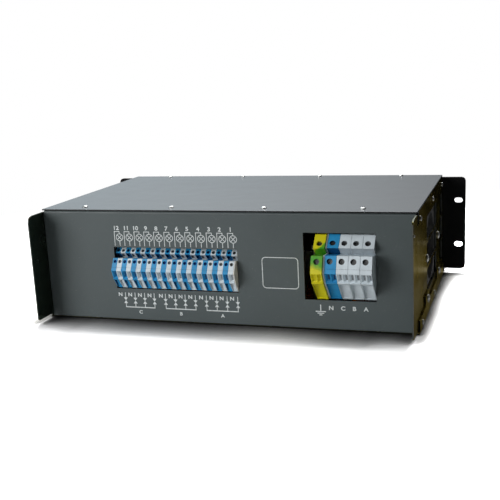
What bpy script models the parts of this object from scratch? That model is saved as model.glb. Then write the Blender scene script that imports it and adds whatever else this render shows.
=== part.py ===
"""A twelve channel dimmer rack: sheet metal case, terminals, breakers, controls, fans and power parts.

The connection panel faces -Y, the operator's front panel faces +Y, and +Z is up. The origin lies on
the ground under the middle of the unit. Lengths are in metres. Each piece is placed from the outer
face of the connection panel, and one empty carries them all to the middle.
"""

import math

import bmesh
import bpy
from mathutils import Euler, Matrix, Vector

# Case
RACK_WIDTH = 0.4826
EAR_WIDTH = 0.0288
BODY_HEIGHT = 0.1280
BODY_DEPTH = 0.2590
SHEET = 0.0015
FLANGE = 0.0120
BEND_RADIUS = 0.0022
GAP = 0.0003

# Front plate with its rack ears, and the wings of the side sheets
PLATE_THICKNESS = 0.0030
PLATE_BASE = 0.0056
PLATE_DROP = 0.0030
EAR_CORNER = 0.0050
SLOT_INSET = 0.00875
SLOT_LENGTH = 0.0105
SLOT_HEIGHT = 0.0066
SLOT_SPACING = 0.05715
SLOT_RISE = 0.0015
WING_LENGTH = 0.0322
WING_BASE = 0.0042
WING_CORNER = 0.0080
WING_LOW_CORNER = 0.0035
WING_ROOT = 0.0030
NOTCH_START = 0.0012
NOTCH_WIDTH = 0.0075
NOTCH_DEPTH = 0.0120

# Air openings in the side sheets
VENT_START = 0.0830
VENT_LENGTH = 0.0980
VENT_POST = 0.0420
VENT_FRONT_MARGIN = 0.0090
VENT_BASE = 0.0220
VENT_DROP = 0.0210
VENT_BAR = 0.0030
VENT_ROWS = 3

# Lip of the bottom tray behind the front plate, and its outer rail with two taller tabs
TRAY_LIP = 0.0130
RAIL_START = 0.0060
RAIL_HEIGHT = 0.0135
TAB_HEIGHT = 0.0245
TAB_WIDTH = 0.0320
TAB_STARTS = (0.0570, 0.1750)

# Window and terminals of the twelve outputs
CHANNELS = 12
CHANNEL_INSET = 0.1605
CHANNEL_HEIGHT = 0.0614
CHANNEL_WINDOW = (0.1460, 0.0480)
CHANNEL_PITCH = 0.0060
CHANNEL_MARGIN = 0.0004
CHANNEL_SCREW = 0.0017
CHANNEL_ENTRY = (0.0038, 0.0075, 0.0060)

# Window and terminals of the mains supply
MAINS_INSET = 0.0799
MAINS_HEIGHT = 0.0691
MAINS_WINDOW = (0.0760, 0.0722)
MAINS_PITCH = 0.0122
MAINS_MARGIN = 0.0004
MAINS_SCREW = 0.0030
MAINS_ENTRY = (0.0090, 0.0090, 0.0100)
MAINS_SEPARATOR = 0.0015
EARTH_REACH = 0.0030
MAINS_POLES = ("phase_a", "phase_b", "phase_c", "neutral", "earth")

# Front outlines of a terminal block, from the panel's face and the window's middle, top to bottom:
# top edge, upper shoulder, recess, upper and lower edge of the screw face, lip under the wire entry, foot
CHANNEL_OUTLINE = (
    (0.0085, 0.0231),
    (0.0025, 0.0169),
    (0.0080, 0.0106),
    (-0.0045, 0.0123),
    (-0.0120, -0.0002),
    (-0.0075, -0.0113),
    (0.0020, -0.0232),
)
MAINS_OUTLINE = (
    (0.0040, 0.0344),
    (-0.0085, 0.0224),
    (-0.0010, 0.0154),
    (-0.0180, 0.0166),
    (-0.0245, -0.0006),
    (-0.0175, -0.0126),
    (0.0050, -0.0355),
)
UPPER_SCREW_DOWN = 0.62
LOWER_SCREW_DOWN = 0.26
ENTRY_DOWN = 0.52
BLOCK_BACK = 0.0240
END_PLATE = 0.0010

# Top hat rail that the terminals clip on
HAT_WIDTH = 0.0350
HAT_DEPTH = 0.0075
HAT_SHEET = 0.0010
HAT_LIP = 0.0040
HAT_OVERHANG = 0.0100
HAT_FOOT = 0.0120

# Circuit breakers, in three banks of four
BANKS = ("a", "b", "c")
POLES_IN_BANK = 4
POLE_WIDTH = 0.0175
BREAKER_HEIGHT = 0.0800
BREAKER_DEPTH = 0.0440
NOSE_HEIGHT = 0.0450
NOSE_REACH = 0.0025
BANK_MARGIN = 0.0030
WINDOW_CLEARANCE = 0.0004
LEVER_WIDTH = 0.0080
LEVER_HUB = 0.0055
LEVER_REACH = 0.0145
LEVER_THICKNESS = 0.0042
LEVER_DEPTH = 0.0040
LEVER_HALF_ANGLE = 38.0
POCKET_HALF_HEIGHT = 0.0085

# Controls on the front plate
CONTROL_INSET = 0.0925
DISPLAY_SIZE = (0.0600, 0.0220)
DISPLAY_DROP = 0.0270
DISPLAY_RIM = 0.0020
BUTTONS = ("menu", "down", "up", "enter")
BUTTON_RADIUS = 0.0040
BUTTON_COLLAR = 0.0052
BUTTON_COLLAR_THICKNESS = 0.0010
BUTTON_REACH = 0.0025
BUTTON_SPACING = 0.0240
BUTTON_DROP = 0.0500
SOCKET_SPACING = 0.0600
SOCKET_RISE = 0.0290
SOCKET_FLANGE = (0.0260, 0.0310, 0.0020)
SOCKET_BARREL = 0.0117
SOCKET_DEPTH = 0.0200
INPUT_BORE = 0.0085
INPUT_BORE_DEPTH = 0.0150
OUTPUT_BORE = 0.0095
OUTPUT_BORE_DEPTH = 0.0120
OUTPUT_INSERT = 0.0074
PIN_CIRCLE = 0.0040
PIN_RADIUS = 0.0013
PIN_LENGTH = 0.0095
BOARD_MARGIN = 0.0100
BOARD_CLEARANCE = 0.0113
BOARD_THICKNESS = 0.0016
BOARD_DROP = 0.0080
BOARD_STANDOFF = 0.0060
STANDOFF_RADIUS = 0.0030
STANDOFF_INSET = 0.0050

# Fans behind the air openings
FAN_SIZE = 0.0800
FAN_DEPTH = 0.0250
FAN_BORE = 0.0385
FAN_CORNER = 0.0060
FAN_HOLE = 0.0022
FAN_HOLE_SPACING = 0.0715
FAN_STRUT = 0.0040
FAN_STRUT_DEPTH = 0.0030
FAN_MOTOR = 0.0170
FAN_HUB = 0.0160
FAN_HUB_LENGTH = 0.0170
FAN_TIP_CLEARANCE = 0.0015
FAN_RUNNING_GAP = 0.0005
FAN_BLADES = 7
BLADE_CHORD = 0.0180
BLADE_THICKNESS = 0.0015
BLADE_PITCH = 35.0
BLADE_ROOT = 0.0030

# Power parts
SINK_DEPTH = 0.0780
SINK_BASE = 0.0060
SINK_TOP = 0.0640
SINK_FINS = 9
FIN_THICKNESS = 0.0020
SINK_END_CLEARANCE = 0.0040
MODULE_SIZE = (0.0920, 0.0340, 0.0120)
MODULE_TOP = (0.0600, 0.0260, 0.0180)
MODULE_INSET = 0.0600
CHOKE_OUTER = 0.0180
CHOKE_INNER = 0.0090
CHOKE_WIDTH = 0.0150
CHOKE_SPACING = 0.0260
CHOKE_PLATE = 0.0020
CHOKE_SINK = 0.0012
CHOKE_CLEARANCE = 0.0100
CORE_SIZE = (0.0420, 0.0180, 0.0380)
WINDING_SIZE = (0.0240, 0.0320, 0.0260)
CORE_INSET = 0.0150
CORE_CLEARANCE = 0.0120

# Round shapes
ARC_STEPS = 3
HOLE_SIDES = 12
ROUND_SIDES = 24

# Worked out from the sizes above
BODY_WIDTH = RACK_WIDTH - 2 * EAR_WIDTH
HALF_BODY = BODY_WIDTH / 2
INNER_X = HALF_BODY - SHEET
FLOOR = SHEET + GAP
CEILING = BODY_HEIGHT - SHEET - GAP
FRONT_END = BODY_DEPTH - GAP
PLATE_TOP = BODY_HEIGHT - PLATE_DROP
PLATE_MIDDLE = (PLATE_BASE + PLATE_TOP) / 2
DISPLAY_Z = PLATE_TOP - DISPLAY_DROP
BUTTON_Z = PLATE_TOP - BUTTON_DROP
SOCKET_Z = PLATE_BASE + SOCKET_RISE
BOARD_TOP = PLATE_TOP - BOARD_DROP
BOARD_BASE = SOCKET_Z + SOCKET_BARREL + BOARD_CLEARANCE
SLOT_MIDDLE = PLATE_MIDDLE + SLOT_RISE
CHANNEL_MIDDLE = (CHANNEL_INSET - HALF_BODY, CHANNEL_HEIGHT)
MAINS_MIDDLE = (HALF_BODY - MAINS_INSET, MAINS_HEIGHT)
VENT_TOP = BODY_HEIGHT - VENT_DROP
PLATE_FACE = BODY_DEPTH + PLATE_THICKNESS
NOSE_FACE = PLATE_FACE + NOSE_REACH
LEVER_PIVOT = NOSE_FACE - LEVER_DEPTH
HALF_ANGLE = math.radians(LEVER_HALF_ANGLE)
LEVER_TIP = LEVER_REACH * math.cos(HALF_ANGLE) + LEVER_THICKNESS / 2 * math.sin(HALF_ANGLE)
BANK_WIDTH = POLES_IN_BANK * POLE_WIDTH
BANK_LEFT = -(INNER_X - FLANGE - BANK_MARGIN)
BANK_RIGHT = BANK_LEFT + len(BANKS) * BANK_WIDTH
CONTROL_X = HALF_BODY - CONTROL_INSET
VENT_MIDDLE = (VENT_START + VENT_LENGTH / 2, (VENT_BASE + VENT_TOP) / 2)
FAN_OUTER_X = INNER_X - GAP
FAN_INNER_X = FAN_OUTER_X - FAN_DEPTH
HAT_BACK = BLOCK_BACK + GAP + HAT_DEPTH
SINK_LENGTH = 2 * (FAN_INNER_X - SINK_END_CLEARANCE)
MODULE_SPACING = SINK_LENGTH / 2 - MODULE_INSET
UNIT_MIDDLE_Y = (LEVER_PIVOT + LEVER_TIP - WING_LENGTH) / 2

# How a shape drawn flat, or along Z, is turned to stand across each axis
TURNS = {
    "X": Euler((math.pi / 2, 0.0, math.pi / 2)),
    "Y": Euler((math.pi / 2, 0.0, 0.0)),
    "Z": Euler((0.0, 0.0, 0.0)),
}


def clear_scene():
    """Removes what the scene holds at the start."""
    for obj in list(bpy.data.objects):
        bpy.data.objects.remove(obj, do_unlink=True)


def new_collection(name):
    """A collection under the scene's own."""
    group = bpy.data.collections.new(name)
    bpy.context.scene.collection.children.link(group)
    return group


def new_rig():
    """The empty that carries every piece."""
    rig = bpy.data.objects.new("dimmer_rack", None)
    rig.location = (0.0, -UNIT_MIDDLE_Y, 0.0)
    PARTS.objects.link(rig)
    return rig


def finish(name, colour, roughness, metallic=0.0):
    """A Principled material of one colour."""
    made = bpy.data.materials.new(name)
    made.use_nodes = True
    made.diffuse_color = (*colour, 1.0)
    shader = made.node_tree.nodes["Principled BSDF"]
    shader.inputs["Base Color"].default_value = (*colour, 1.0)
    shader.inputs["Roughness"].default_value = roughness
    shader.inputs["Metallic"].default_value = metallic
    return made


def helper(mesh_source, name="helper"):
    """An object among the cutters, from a bmesh or a mesh, hidden from the render."""
    mesh = mesh_source
    if isinstance(mesh_source, bmesh.types.BMesh):
        mesh = bpy.data.meshes.new(name)
        mesh_source.to_mesh(mesh)
        mesh_source.free()
    obj = bpy.data.objects.new(name, mesh)
    CUTTERS.objects.link(obj)
    obj.parent = RIG
    obj.hide_render = True
    obj.display_type = "WIRE"
    return obj


def box(low, high):
    """A block between two opposite corners."""
    low = Vector(low)
    high = Vector(high)
    bm = bmesh.new()
    bmesh.ops.create_cube(bm, size=1.0)
    bmesh.ops.scale(bm, vec=high - low, verts=bm.verts)
    obj = helper(bm, "box")
    obj.location = (low + high) / 2
    return obj


def cylinder(centre, radius, length, axis, sides=ROUND_SIDES):
    """A round bar along one axis."""
    bm = bmesh.new()
    bmesh.ops.create_cone(bm, cap_ends=True, segments=sides, radius1=radius, radius2=radius, depth=length)
    obj = helper(bm, "cylinder")
    obj.location = centre
    obj.rotation_euler = TURNS[axis]
    return obj


def arc(centre, radius, start, end, steps=ARC_STEPS):
    """Points along an arc, both ends included."""
    turns = [start + (end - start) * i / steps for i in range(steps + 1)]
    return [(centre[0] + radius * math.cos(t), centre[1] + radius * math.sin(t)) for t in turns]


def rounded(low, high, radius, steps=ARC_STEPS):
    """A rectangle with round corners, as points in order."""
    centres = (
        (high[0] - radius, high[1] - radius),
        (low[0] + radius, high[1] - radius),
        (low[0] + radius, low[1] + radius),
        (high[0] - radius, low[1] + radius),
    )
    points = []
    for quarter, centre in enumerate(centres):
        start = quarter * math.pi / 2
        points += arc(centre, radius, start, start + math.pi / 2, steps)
    return points


def rounded_about(middle, size, radius, steps=ARC_STEPS):
    """A round cornered rectangle of a given size about its middle."""
    low = (middle[0] - size[0] / 2, middle[1] - size[1] / 2)
    high = (middle[0] + size[0] / 2, middle[1] + size[1] / 2)
    return rounded(low, high, radius, steps)


def flat(outline, thickness, axis, at):
    """A plate with the given outline across one axis, its middle at a distance along that axis."""
    curve = bpy.data.curves.new("outline", "CURVE")
    curve.dimensions = "2D"
    curve.fill_mode = "BOTH"
    curve.extrude = thickness / 2
    spline = curve.splines.new("POLY")
    spline.points.add(len(outline) - 1)
    for point, place in zip(spline.points, outline):
        point.co = (place[0], place[1], 0.0, 1.0)
    spline.use_cyclic_u = True
    drawn = bpy.data.objects.new("outline", curve)
    CUTTERS.objects.link(drawn)
    graph = bpy.context.evaluated_depsgraph_get()
    mesh = bpy.data.meshes.new_from_object(drawn.evaluated_get(graph))
    bpy.data.objects.remove(drawn, do_unlink=True)
    bm = bmesh.new()
    bm.from_mesh(mesh)
    bmesh.ops.remove_doubles(bm, verts=bm.verts, dist=1e-6)
    bmesh.ops.recalc_face_normals(bm, faces=bm.faces)
    bm.to_mesh(mesh)
    bm.free()
    obj = helper(mesh, "flat")
    obj.rotation_euler = TURNS[axis]
    obj.location["XYZ".index(axis)] = at
    return obj


def group(pieces):
    """Several helper solids in one object, still apart, ready to be fused to one piece."""
    bpy.context.view_layer.update()
    bm = bmesh.new()
    for piece in pieces:
        mesh = piece.data.copy()
        mesh.transform(piece.matrix_local)
        bm.from_mesh(mesh)
        bpy.data.meshes.remove(mesh)
        bpy.data.objects.remove(piece, do_unlink=True)
    return helper(bm, "group")


def boolean(target, other, operation):
    """One exact Boolean on a piece."""
    step = target.modifiers.new(operation.lower(), "BOOLEAN")
    step.operation = operation
    step.solver = "EXACT"
    step.object = other


def fuse(target, *others):
    """Joins helper solids to a piece."""
    for other in others:
        boolean(target, other, "UNION")
    return target


def carve(target, *others):
    """Cuts helper solids out of a piece."""
    for other in others:
        boolean(target, other, "DIFFERENCE")
    return target


def shade(mesh):
    """Smooth round faces with sharp edges kept."""
    mesh.shade_smooth()
    mesh.set_sharp_from_angle(angle=math.radians(35.0))


def settled(obj):
    """The piece with its Booleans worked out, as a new plain mesh on the same place."""
    bpy.context.view_layer.update()
    graph = bpy.context.evaluated_depsgraph_get()
    mesh = bpy.data.meshes.new_from_object(obj.evaluated_get(graph))
    tools = [step.object for step in obj.modifiers]
    made = helper(mesh, obj.name)
    made.location = obj.location
    made.rotation_euler = obj.rotation_euler
    for used in [obj, *tools]:
        bpy.data.objects.remove(used, do_unlink=True)
    return made


def part(obj, name, *finishes):
    """Takes a helper solid into the parts under its own name and finish."""
    made = settled(obj)
    made.name = name
    made.data.name = name
    CUTTERS.objects.unlink(made)
    PARTS.objects.link(made)
    made.hide_render = False
    made.display_type = "SOLID"
    made.data.materials.clear()
    for look in finishes:
        made.data.materials.append(look)
    shade(made.data)
    return made


def twin(obj, name, location, look=None, rotation=None):
    """Another object with the same mesh."""
    made = bpy.data.objects.new(name, obj.data)
    PARTS.objects.link(made)
    made.parent = RIG
    made.location = location
    made.rotation_euler = obj.rotation_euler if rotation is None else rotation
    if look is not None:
        made.material_slots[0].link = "OBJECT"
        made.material_slots[0].material = look
    return made


def origin_to(obj, place):
    """Moves a piece's origin without moving the piece."""
    shift = Vector(place) - obj.location
    turned = obj.rotation_euler.to_matrix()
    obj.data.transform(Matrix.Translation(turned.inverted() @ -shift))
    obj.location = place


def build_bottom_tray():
    """Flat floor with a rail turned up outside each side sheet and a lip behind the front plate."""
    rail_x = HALF_BODY + GAP + SHEET / 2
    edge_x = rail_x + SHEET / 2
    tray = box((-edge_x, 0.0, 0.0), (edge_x, FRONT_END, SHEET))
    outline = [(RAIL_START, 0.0), (FRONT_END, 0.0), (FRONT_END, RAIL_HEIGHT)]
    for start in reversed(TAB_STARTS):
        outline.append((start + TAB_WIDTH, RAIL_HEIGHT))
        outline.append((start + TAB_WIDTH, TAB_HEIGHT))
        outline.append((start, TAB_HEIGHT))
        outline.append((start, RAIL_HEIGHT))
    outline.append((RAIL_START, RAIL_HEIGHT))
    rails = [flat(outline, SHEET, "X", side * rail_x) for side in (-1, 1)]
    lip_x = INNER_X - GAP
    lip = box((-lip_x, FRONT_END - SHEET, 0.0), (lip_x, FRONT_END, TRAY_LIP))
    return part(fuse(tray, *rails, lip), "bottom_tray", PASSIVATED)


def build_top_cover():
    """Flat lid over the side sheets and the two panels."""
    lid = box((-HALF_BODY, 0.0, BODY_HEIGHT - SHEET), (HALF_BODY, FRONT_END, BODY_HEIGHT))
    return part(lid, "top_cover", CASE_GREY)


def build_rear_panel():
    """Connection panel with a rolled top edge and one window for each set of terminals."""
    top = CEILING
    half = INNER_X - GAP
    outer = arc((BEND_RADIUS, top - BEND_RADIUS), BEND_RADIUS, math.pi, math.pi / 2)
    inner_radius = BEND_RADIUS - SHEET
    inner = arc((BEND_RADIUS, top - BEND_RADIUS), inner_radius, math.pi / 2, math.pi)
    outline = [(0.0, FLOOR), *outer, (FLANGE, top), (FLANGE, top - SHEET), *inner, (SHEET, FLOOR)]
    panel = flat(outline, 2 * half, "X", 0.0)
    for middle, size in ((CHANNEL_MIDDLE, CHANNEL_WINDOW), (MAINS_MIDDLE, MAINS_WINDOW)):
        low = (middle[0] - size[0] / 2, -SHEET, middle[1] - size[1] / 2)
        high = (middle[0] + size[0] / 2, 2 * SHEET, middle[1] + size[1] / 2)
        carve(panel, box(low, high))
    return part(panel, "rear_panel", CASE_GREY)


def side_outline():
    """Outer edge of a side sheet with its wing, in Y and Z."""
    wing_top = (-WING_LENGTH + WING_CORNER, PLATE_TOP - WING_CORNER)
    wing_low = (-WING_LENGTH + WING_LOW_CORNER, WING_BASE + WING_LOW_CORNER)
    notch_end = NOTCH_START + NOTCH_WIDTH
    return [
        (-WING_ROOT, FLOOR),
        (FRONT_END, FLOOR),
        (FRONT_END, CEILING),
        (notch_end, CEILING),
        (notch_end, PLATE_TOP - NOTCH_DEPTH),
        (NOTCH_START, PLATE_TOP - NOTCH_DEPTH),
        (NOTCH_START, PLATE_TOP),
        *arc(wing_top, WING_CORNER, math.pi / 2, math.pi),
        *arc(wing_low, WING_LOW_CORNER, math.pi, 3 * math.pi / 2),
        (-WING_ROOT, WING_BASE),
    ]


def vents(middle_x):
    """Air openings of a side sheet as cutters: two columns of equal rows with bars between."""
    row = (VENT_TOP - VENT_BASE - (VENT_ROWS - 1) * VENT_BAR) / VENT_ROWS
    second = VENT_START + VENT_LENGTH + VENT_POST
    cutters = []
    for start, end in ((VENT_START, VENT_START + VENT_LENGTH), (second, BODY_DEPTH - VENT_FRONT_MARGIN)):
        for i in range(VENT_ROWS):
            low = VENT_BASE + i * (row + VENT_BAR)
            cutters.append(box((middle_x - SHEET, start, low), (middle_x + SHEET, end, low + row)))
    return cutters


def build_side_panel(side, name):
    """Side sheet with its wing, air openings and inward flanges."""
    middle_x = side * (HALF_BODY - SHEET / 2)
    inner_x = side * (HALF_BODY - FLANGE)
    panel = carve(flat(side_outline(), SHEET, "X", middle_x), group(vents(middle_x)))
    left, right = sorted((middle_x, inner_x))
    top = box((left, FLANGE + GAP, CEILING - SHEET), (right, FRONT_END, CEILING))
    low = PLATE_BASE + FLANGE
    front = box((left, FRONT_END - SHEET, low), (right, FRONT_END, CEILING - FLANGE))
    return part(fuse(panel, top, front), name, PASSIVATED)


def slot_places():
    """Middles of the four rack slots, in X and Z."""
    slot_x = RACK_WIDTH / 2 - SLOT_INSET
    half = SLOT_SPACING / 2
    return [(side * slot_x, SLOT_MIDDLE + up * half) for side in (-1, 1) for up in (-1, 1)]


def button_xs():
    """Middles of the buttons, as they stand along X."""
    first = CONTROL_X - BUTTON_SPACING * (len(BUTTONS) - 1) / 2
    return [first + i * BUTTON_SPACING for i in range(len(BUTTONS))]


def socket_xs():
    """Middles of the input and the output socket along X."""
    return (CONTROL_X + SOCKET_SPACING / 2, CONTROL_X - SOCKET_SPACING / 2)


def build_front_panel():
    """Front plate with rack ears, and holes for slots, breakers, display, buttons and sockets."""
    half = RACK_WIDTH / 2
    middle_y = BODY_DEPTH + PLATE_THICKNESS / 2
    through = 2 * PLATE_THICKNESS
    edge = rounded((-half, PLATE_BASE), (half, PLATE_TOP), EAR_CORNER)
    plate = flat(edge, PLATE_THICKNESS, "Y", middle_y)
    slots = []
    for place in slot_places():
        shape = rounded_about(place, (SLOT_LENGTH, SLOT_HEIGHT), SLOT_HEIGHT / 2)
        slots.append(flat(shape, through, "Y", middle_y))
    half_z = NOSE_HEIGHT / 2 + WINDOW_CLEARANCE
    low = (BANK_LEFT - WINDOW_CLEARANCE, middle_y - PLATE_THICKNESS, PLATE_MIDDLE - half_z)
    high = (BANK_RIGHT + WINDOW_CLEARANCE, middle_y + PLATE_THICKNESS, PLATE_MIDDLE + half_z)
    size = (DISPLAY_SIZE[0] + 2 * GAP, DISPLAY_SIZE[1] + 2 * GAP)
    display = rounded_about((CONTROL_X, DISPLAY_Z), size, DISPLAY_RIM + GAP)
    holes = [*slots, box(low, high), flat(display, through, "Y", middle_y)]
    for x in button_xs():
        holes.append(cylinder((x, middle_y, BUTTON_Z), BUTTON_RADIUS + GAP, through, "Y", 2 * HOLE_SIDES))
    for x in socket_xs():
        holes.append(cylinder((x, middle_y, SOCKET_Z), SOCKET_BARREL + GAP, through, "Y"))
    carve(plate, group(holes))
    return part(plate, "front_panel", EAR_BLACK)


def block_points(outline, middle_z):
    """Full side outline of a terminal block, front and back, in Y and Z."""
    front = [(y, middle_z + z) for y, z in outline]
    return [*front, (BLOCK_BACK, front[-1][1]), (BLOCK_BACK, front[0][1])]


def face_cutter(outline, middle_z, face, share, x, shape, depth):
    """A screw hole or wire entry square to one face of the outline, a share of the way down it."""
    start = Vector(outline[face])
    end = Vector(outline[face + 1])
    along = (end - start).normalized()
    place = start + (end - start) * share
    tilt = math.atan2(along[0], -along[1])
    if isinstance(shape, float):
        cutter = cylinder((0.0, 0.0, 0.0), shape, 2 * depth, "Y", HOLE_SIDES)
    else:
        cutter = box((-shape[0] / 2, -depth, -shape[1] / 2), (shape[0] / 2, depth, shape[1] / 2))
    turn = Matrix.Rotation(tilt, 4, "X") @ cutter.rotation_euler.to_matrix().to_4x4()
    cutter.rotation_euler = turn.to_euler()
    cutter.location = (x, place[0], middle_z + place[1])
    return cutter


def block_cutters(outline, middle_z, x, screw, entry):
    """The two screw holes and the wire entry of a block."""
    size = (entry[0], entry[1])
    return [
        face_cutter(outline, middle_z, 0, UPPER_SCREW_DOWN, x, screw, 2 * screw),
        face_cutter(outline, middle_z, 3, LOWER_SCREW_DOWN, x, screw, 3 * screw),
        face_cutter(outline, middle_z, 4, ENTRY_DOWN, x, size, entry[2]),
    ]


def channel_left(channel):
    """Left edge of a channel's pair of blocks. Channel 1 is at the right."""
    strip = CHANNEL_MIDDLE[0] - CHANNEL_WINDOW[0] / 2 + CHANNEL_MARGIN
    return strip + (CHANNELS - channel) * 2 * CHANNEL_PITCH


def build_channel_terminals():
    """Twelve pairs of blocks, each a neutral one and a live one in one housing."""
    middle_z = CHANNEL_MIDDLE[1]
    width = 2 * CHANNEL_PITCH - GAP
    points = block_points(CHANNEL_OUTLINE, middle_z)
    pair = flat(points, width, "X", width / 2)
    for x in (CHANNEL_PITCH / 2, 3 * CHANNEL_PITCH / 2 - GAP):
        carve(pair, *block_cutters(CHANNEL_OUTLINE, middle_z, x, CHANNEL_SCREW, CHANNEL_ENTRY))
    first = part(pair, "channel_terminals_01", NEUTRAL_BLUE, TERMINAL_GREY)
    origin_to(first, (0.0, 0.0, 0.0))
    split_colours(first, CHANNEL_PITCH - GAP / 2)
    first.location.x = channel_left(1)
    for channel in range(2, CHANNELS + 1):
        twin(first, f"channel_terminals_{channel:02d}", (channel_left(channel), 0.0, 0.0))


def split_colours(obj, border):
    """Cuts a mesh's faces along a plane across X, and gives the far side the second finish."""
    bm = bmesh.new()
    bm.from_mesh(obj.data)
    everything = [*bm.verts, *bm.edges, *bm.faces]
    turned = obj.rotation_euler.to_matrix()
    local_normal = turned.inverted() @ Vector((1.0, 0.0, 0.0))
    plane_point = local_normal * border
    bmesh.ops.bisect_plane(bm, geom=everything, plane_co=plane_point, plane_no=local_normal)
    for face in bm.faces:
        face.material_index = int(face.calc_center_median().dot(local_normal) > border)
    bm.to_mesh(obj.data)
    bm.free()


def build_channel_end_plate():
    """Thin plate that closes the open side of the last output block."""
    left = channel_left(0)
    points = block_points(CHANNEL_OUTLINE, CHANNEL_MIDDLE[1])
    plate = flat(points, END_PLATE, "X", left + END_PLATE / 2)
    return part(plate, "channel_end_plate", END_BEIGE)


def mains_right(index):
    """Right edge of a mains block, counted from the right. The separator stands before the last one."""
    edge = MAINS_MIDDLE[0] + MAINS_WINDOW[0] / 2 - MAINS_MARGIN
    spread = MAINS_SEPARATOR + GAP if index == len(MAINS_POLES) - 1 else 0.0
    return edge - index * MAINS_PITCH - spread


def mains_block(outline):
    """A large block of a given front outline, with its right edge at x = 0."""
    middle_z = MAINS_MIDDLE[1]
    width = MAINS_PITCH - GAP
    block = flat(block_points(outline, middle_z), width, "X", -width / 2)
    return carve(block, *block_cutters(outline, middle_z, -width / 2, MAINS_SCREW, MAINS_ENTRY))


def build_mains_terminals():
    """Five large blocks, the earth one reaching further out, and the plate between earth and neutral."""
    first = part(mains_block(MAINS_OUTLINE), "mains_terminal_" + MAINS_POLES[0], TERMINAL_GREY)
    origin_to(first, (0.0, 0.0, 0.0))
    first.location.x = mains_right(0)
    looks = {"neutral": NEUTRAL_BLUE}
    for index, pole in enumerate(MAINS_POLES[1:-1], start=1):
        place = (mains_right(index), 0.0, 0.0)
        twin(first, "mains_terminal_" + pole, place, looks.get(pole, TERMINAL_GREY))
    reached = [(y - EARTH_REACH, z) for y, z in MAINS_OUTLINE]
    earth = part(mains_block(reached), "mains_terminal_" + MAINS_POLES[-1], EARTH_YELLOW)
    origin_to(earth, (0.0, 0.0, 0.0))
    earth_right = mains_right(len(MAINS_POLES) - 1)
    earth.location.x = earth_right
    points = block_points(MAINS_OUTLINE, MAINS_MIDDLE[1])
    plate = flat(points, MAINS_SEPARATOR, "X", earth_right + GAP + MAINS_SEPARATOR / 2)
    return part(plate, "mains_separator_plate", TERMINAL_GREY)


def build_hat_rail(name, left, right, middle_z):
    """Top hat rail behind a row of blocks, on two feet that stand on the tray."""
    front = BLOCK_BACK + GAP
    half = HAT_WIDTH / 2
    web = half - HAT_LIP
    lip = front + HAT_SHEET
    pocket = HAT_BACK - HAT_SHEET
    outline = [
        (front, middle_z + half),
        (front, middle_z + web - HAT_SHEET),
        (pocket, middle_z + web - HAT_SHEET),
        (pocket, middle_z - web + HAT_SHEET),
        (front, middle_z - web + HAT_SHEET),
        (front, middle_z - half),
        (lip, middle_z - half),
        (lip, middle_z - web),
        (HAT_BACK, middle_z - web),
        (HAT_BACK, middle_z + web),
        (lip, middle_z + web),
        (lip, middle_z + half),
    ]
    start = left - HAT_OVERHANG
    end = right + HAT_OVERHANG
    rail = flat(outline, end - start, "X", (start + end) / 2)
    for x in (start, end - HAT_FOOT):
        foot = box((x, lip + HAT_SHEET, FLOOR), (x + HAT_FOOT, HAT_BACK, middle_z - web + HAT_SHEET / 2))
        fuse(rail, foot)
    return part(rail, name, BARE_STEEL)


def build_rails():
    """One rail for the outputs and one for the mains."""
    build_hat_rail("channel_rail", channel_left(CHANNELS), channel_left(0), CHANNEL_MIDDLE[1])
    last = len(MAINS_POLES) - 1
    build_hat_rail("mains_rail", mains_right(last) - MAINS_PITCH, mains_right(0), MAINS_MIDDLE[1])


def pole_x(index):
    """Middle of a breaker pole along X. The first pole is the one nearest -X."""
    return BANK_LEFT + (index + 0.5) * POLE_WIDTH


def build_breakers():
    """Three banks of four poles behind the plate's window, each pole with its own lever."""
    width = BANK_WIDTH - GAP
    half = BREAKER_HEIGHT / 2
    nose = NOSE_HEIGHT / 2
    bank = box((0.0, FRONT_END - BREAKER_DEPTH, -half), (width, FRONT_END, half))
    origin_to(bank, (0.0, 0.0, 0.0))
    fuse(bank, box((0.0, FRONT_END - SHEET, -nose), (width, NOSE_FACE, nose)))
    pocket = LEVER_WIDTH / 2 + GAP
    floor_y = LEVER_PIVOT - LEVER_HUB - GAP
    for index in range(POLES_IN_BANK):
        x = (index + 0.5) * POLE_WIDTH
        low = (x - pocket, floor_y, -POCKET_HALF_HEIGHT)
        high = (x + pocket, NOSE_FACE + SHEET, POCKET_HALF_HEIGHT)
        carve(bank, box(low, high))
    first = part(bank, "breaker_bank_" + BANKS[0], BREAKER_WHITE)
    first.location = (BANK_LEFT, 0.0, PLATE_MIDDLE)
    for index, name in enumerate(BANKS[1:], start=1):
        twin(first, "breaker_bank_" + name, (BANK_LEFT + index * BANK_WIDTH, 0.0, PLATE_MIDDLE))
    build_levers()


def build_levers():
    """Breaker levers, each with its origin on its pin, resting in the off position."""
    half_width = LEVER_WIDTH / 2
    half_thick = LEVER_THICKNESS / 2
    lever = cylinder((0.0, 0.0, 0.0), LEVER_HUB, LEVER_WIDTH, "X", HOLE_SIDES)
    handle = box((-half_width, 0.0, -half_thick), (half_width, LEVER_REACH, half_thick))
    origin_to(handle, (0.0, 0.0, 0.0))
    handle.rotation_euler = (-HALF_ANGLE, 0.0, 0.0)
    first = part(fuse(lever, handle), "breaker_lever_01", LEVER_BLACK)
    first.location = (pole_x(0), LEVER_PIVOT, PLATE_MIDDLE)
    for index in range(1, CHANNELS):
        twin(first, f"breaker_lever_{index + 1:02d}", (pole_x(index), LEVER_PIVOT, PLATE_MIDDLE))


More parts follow.
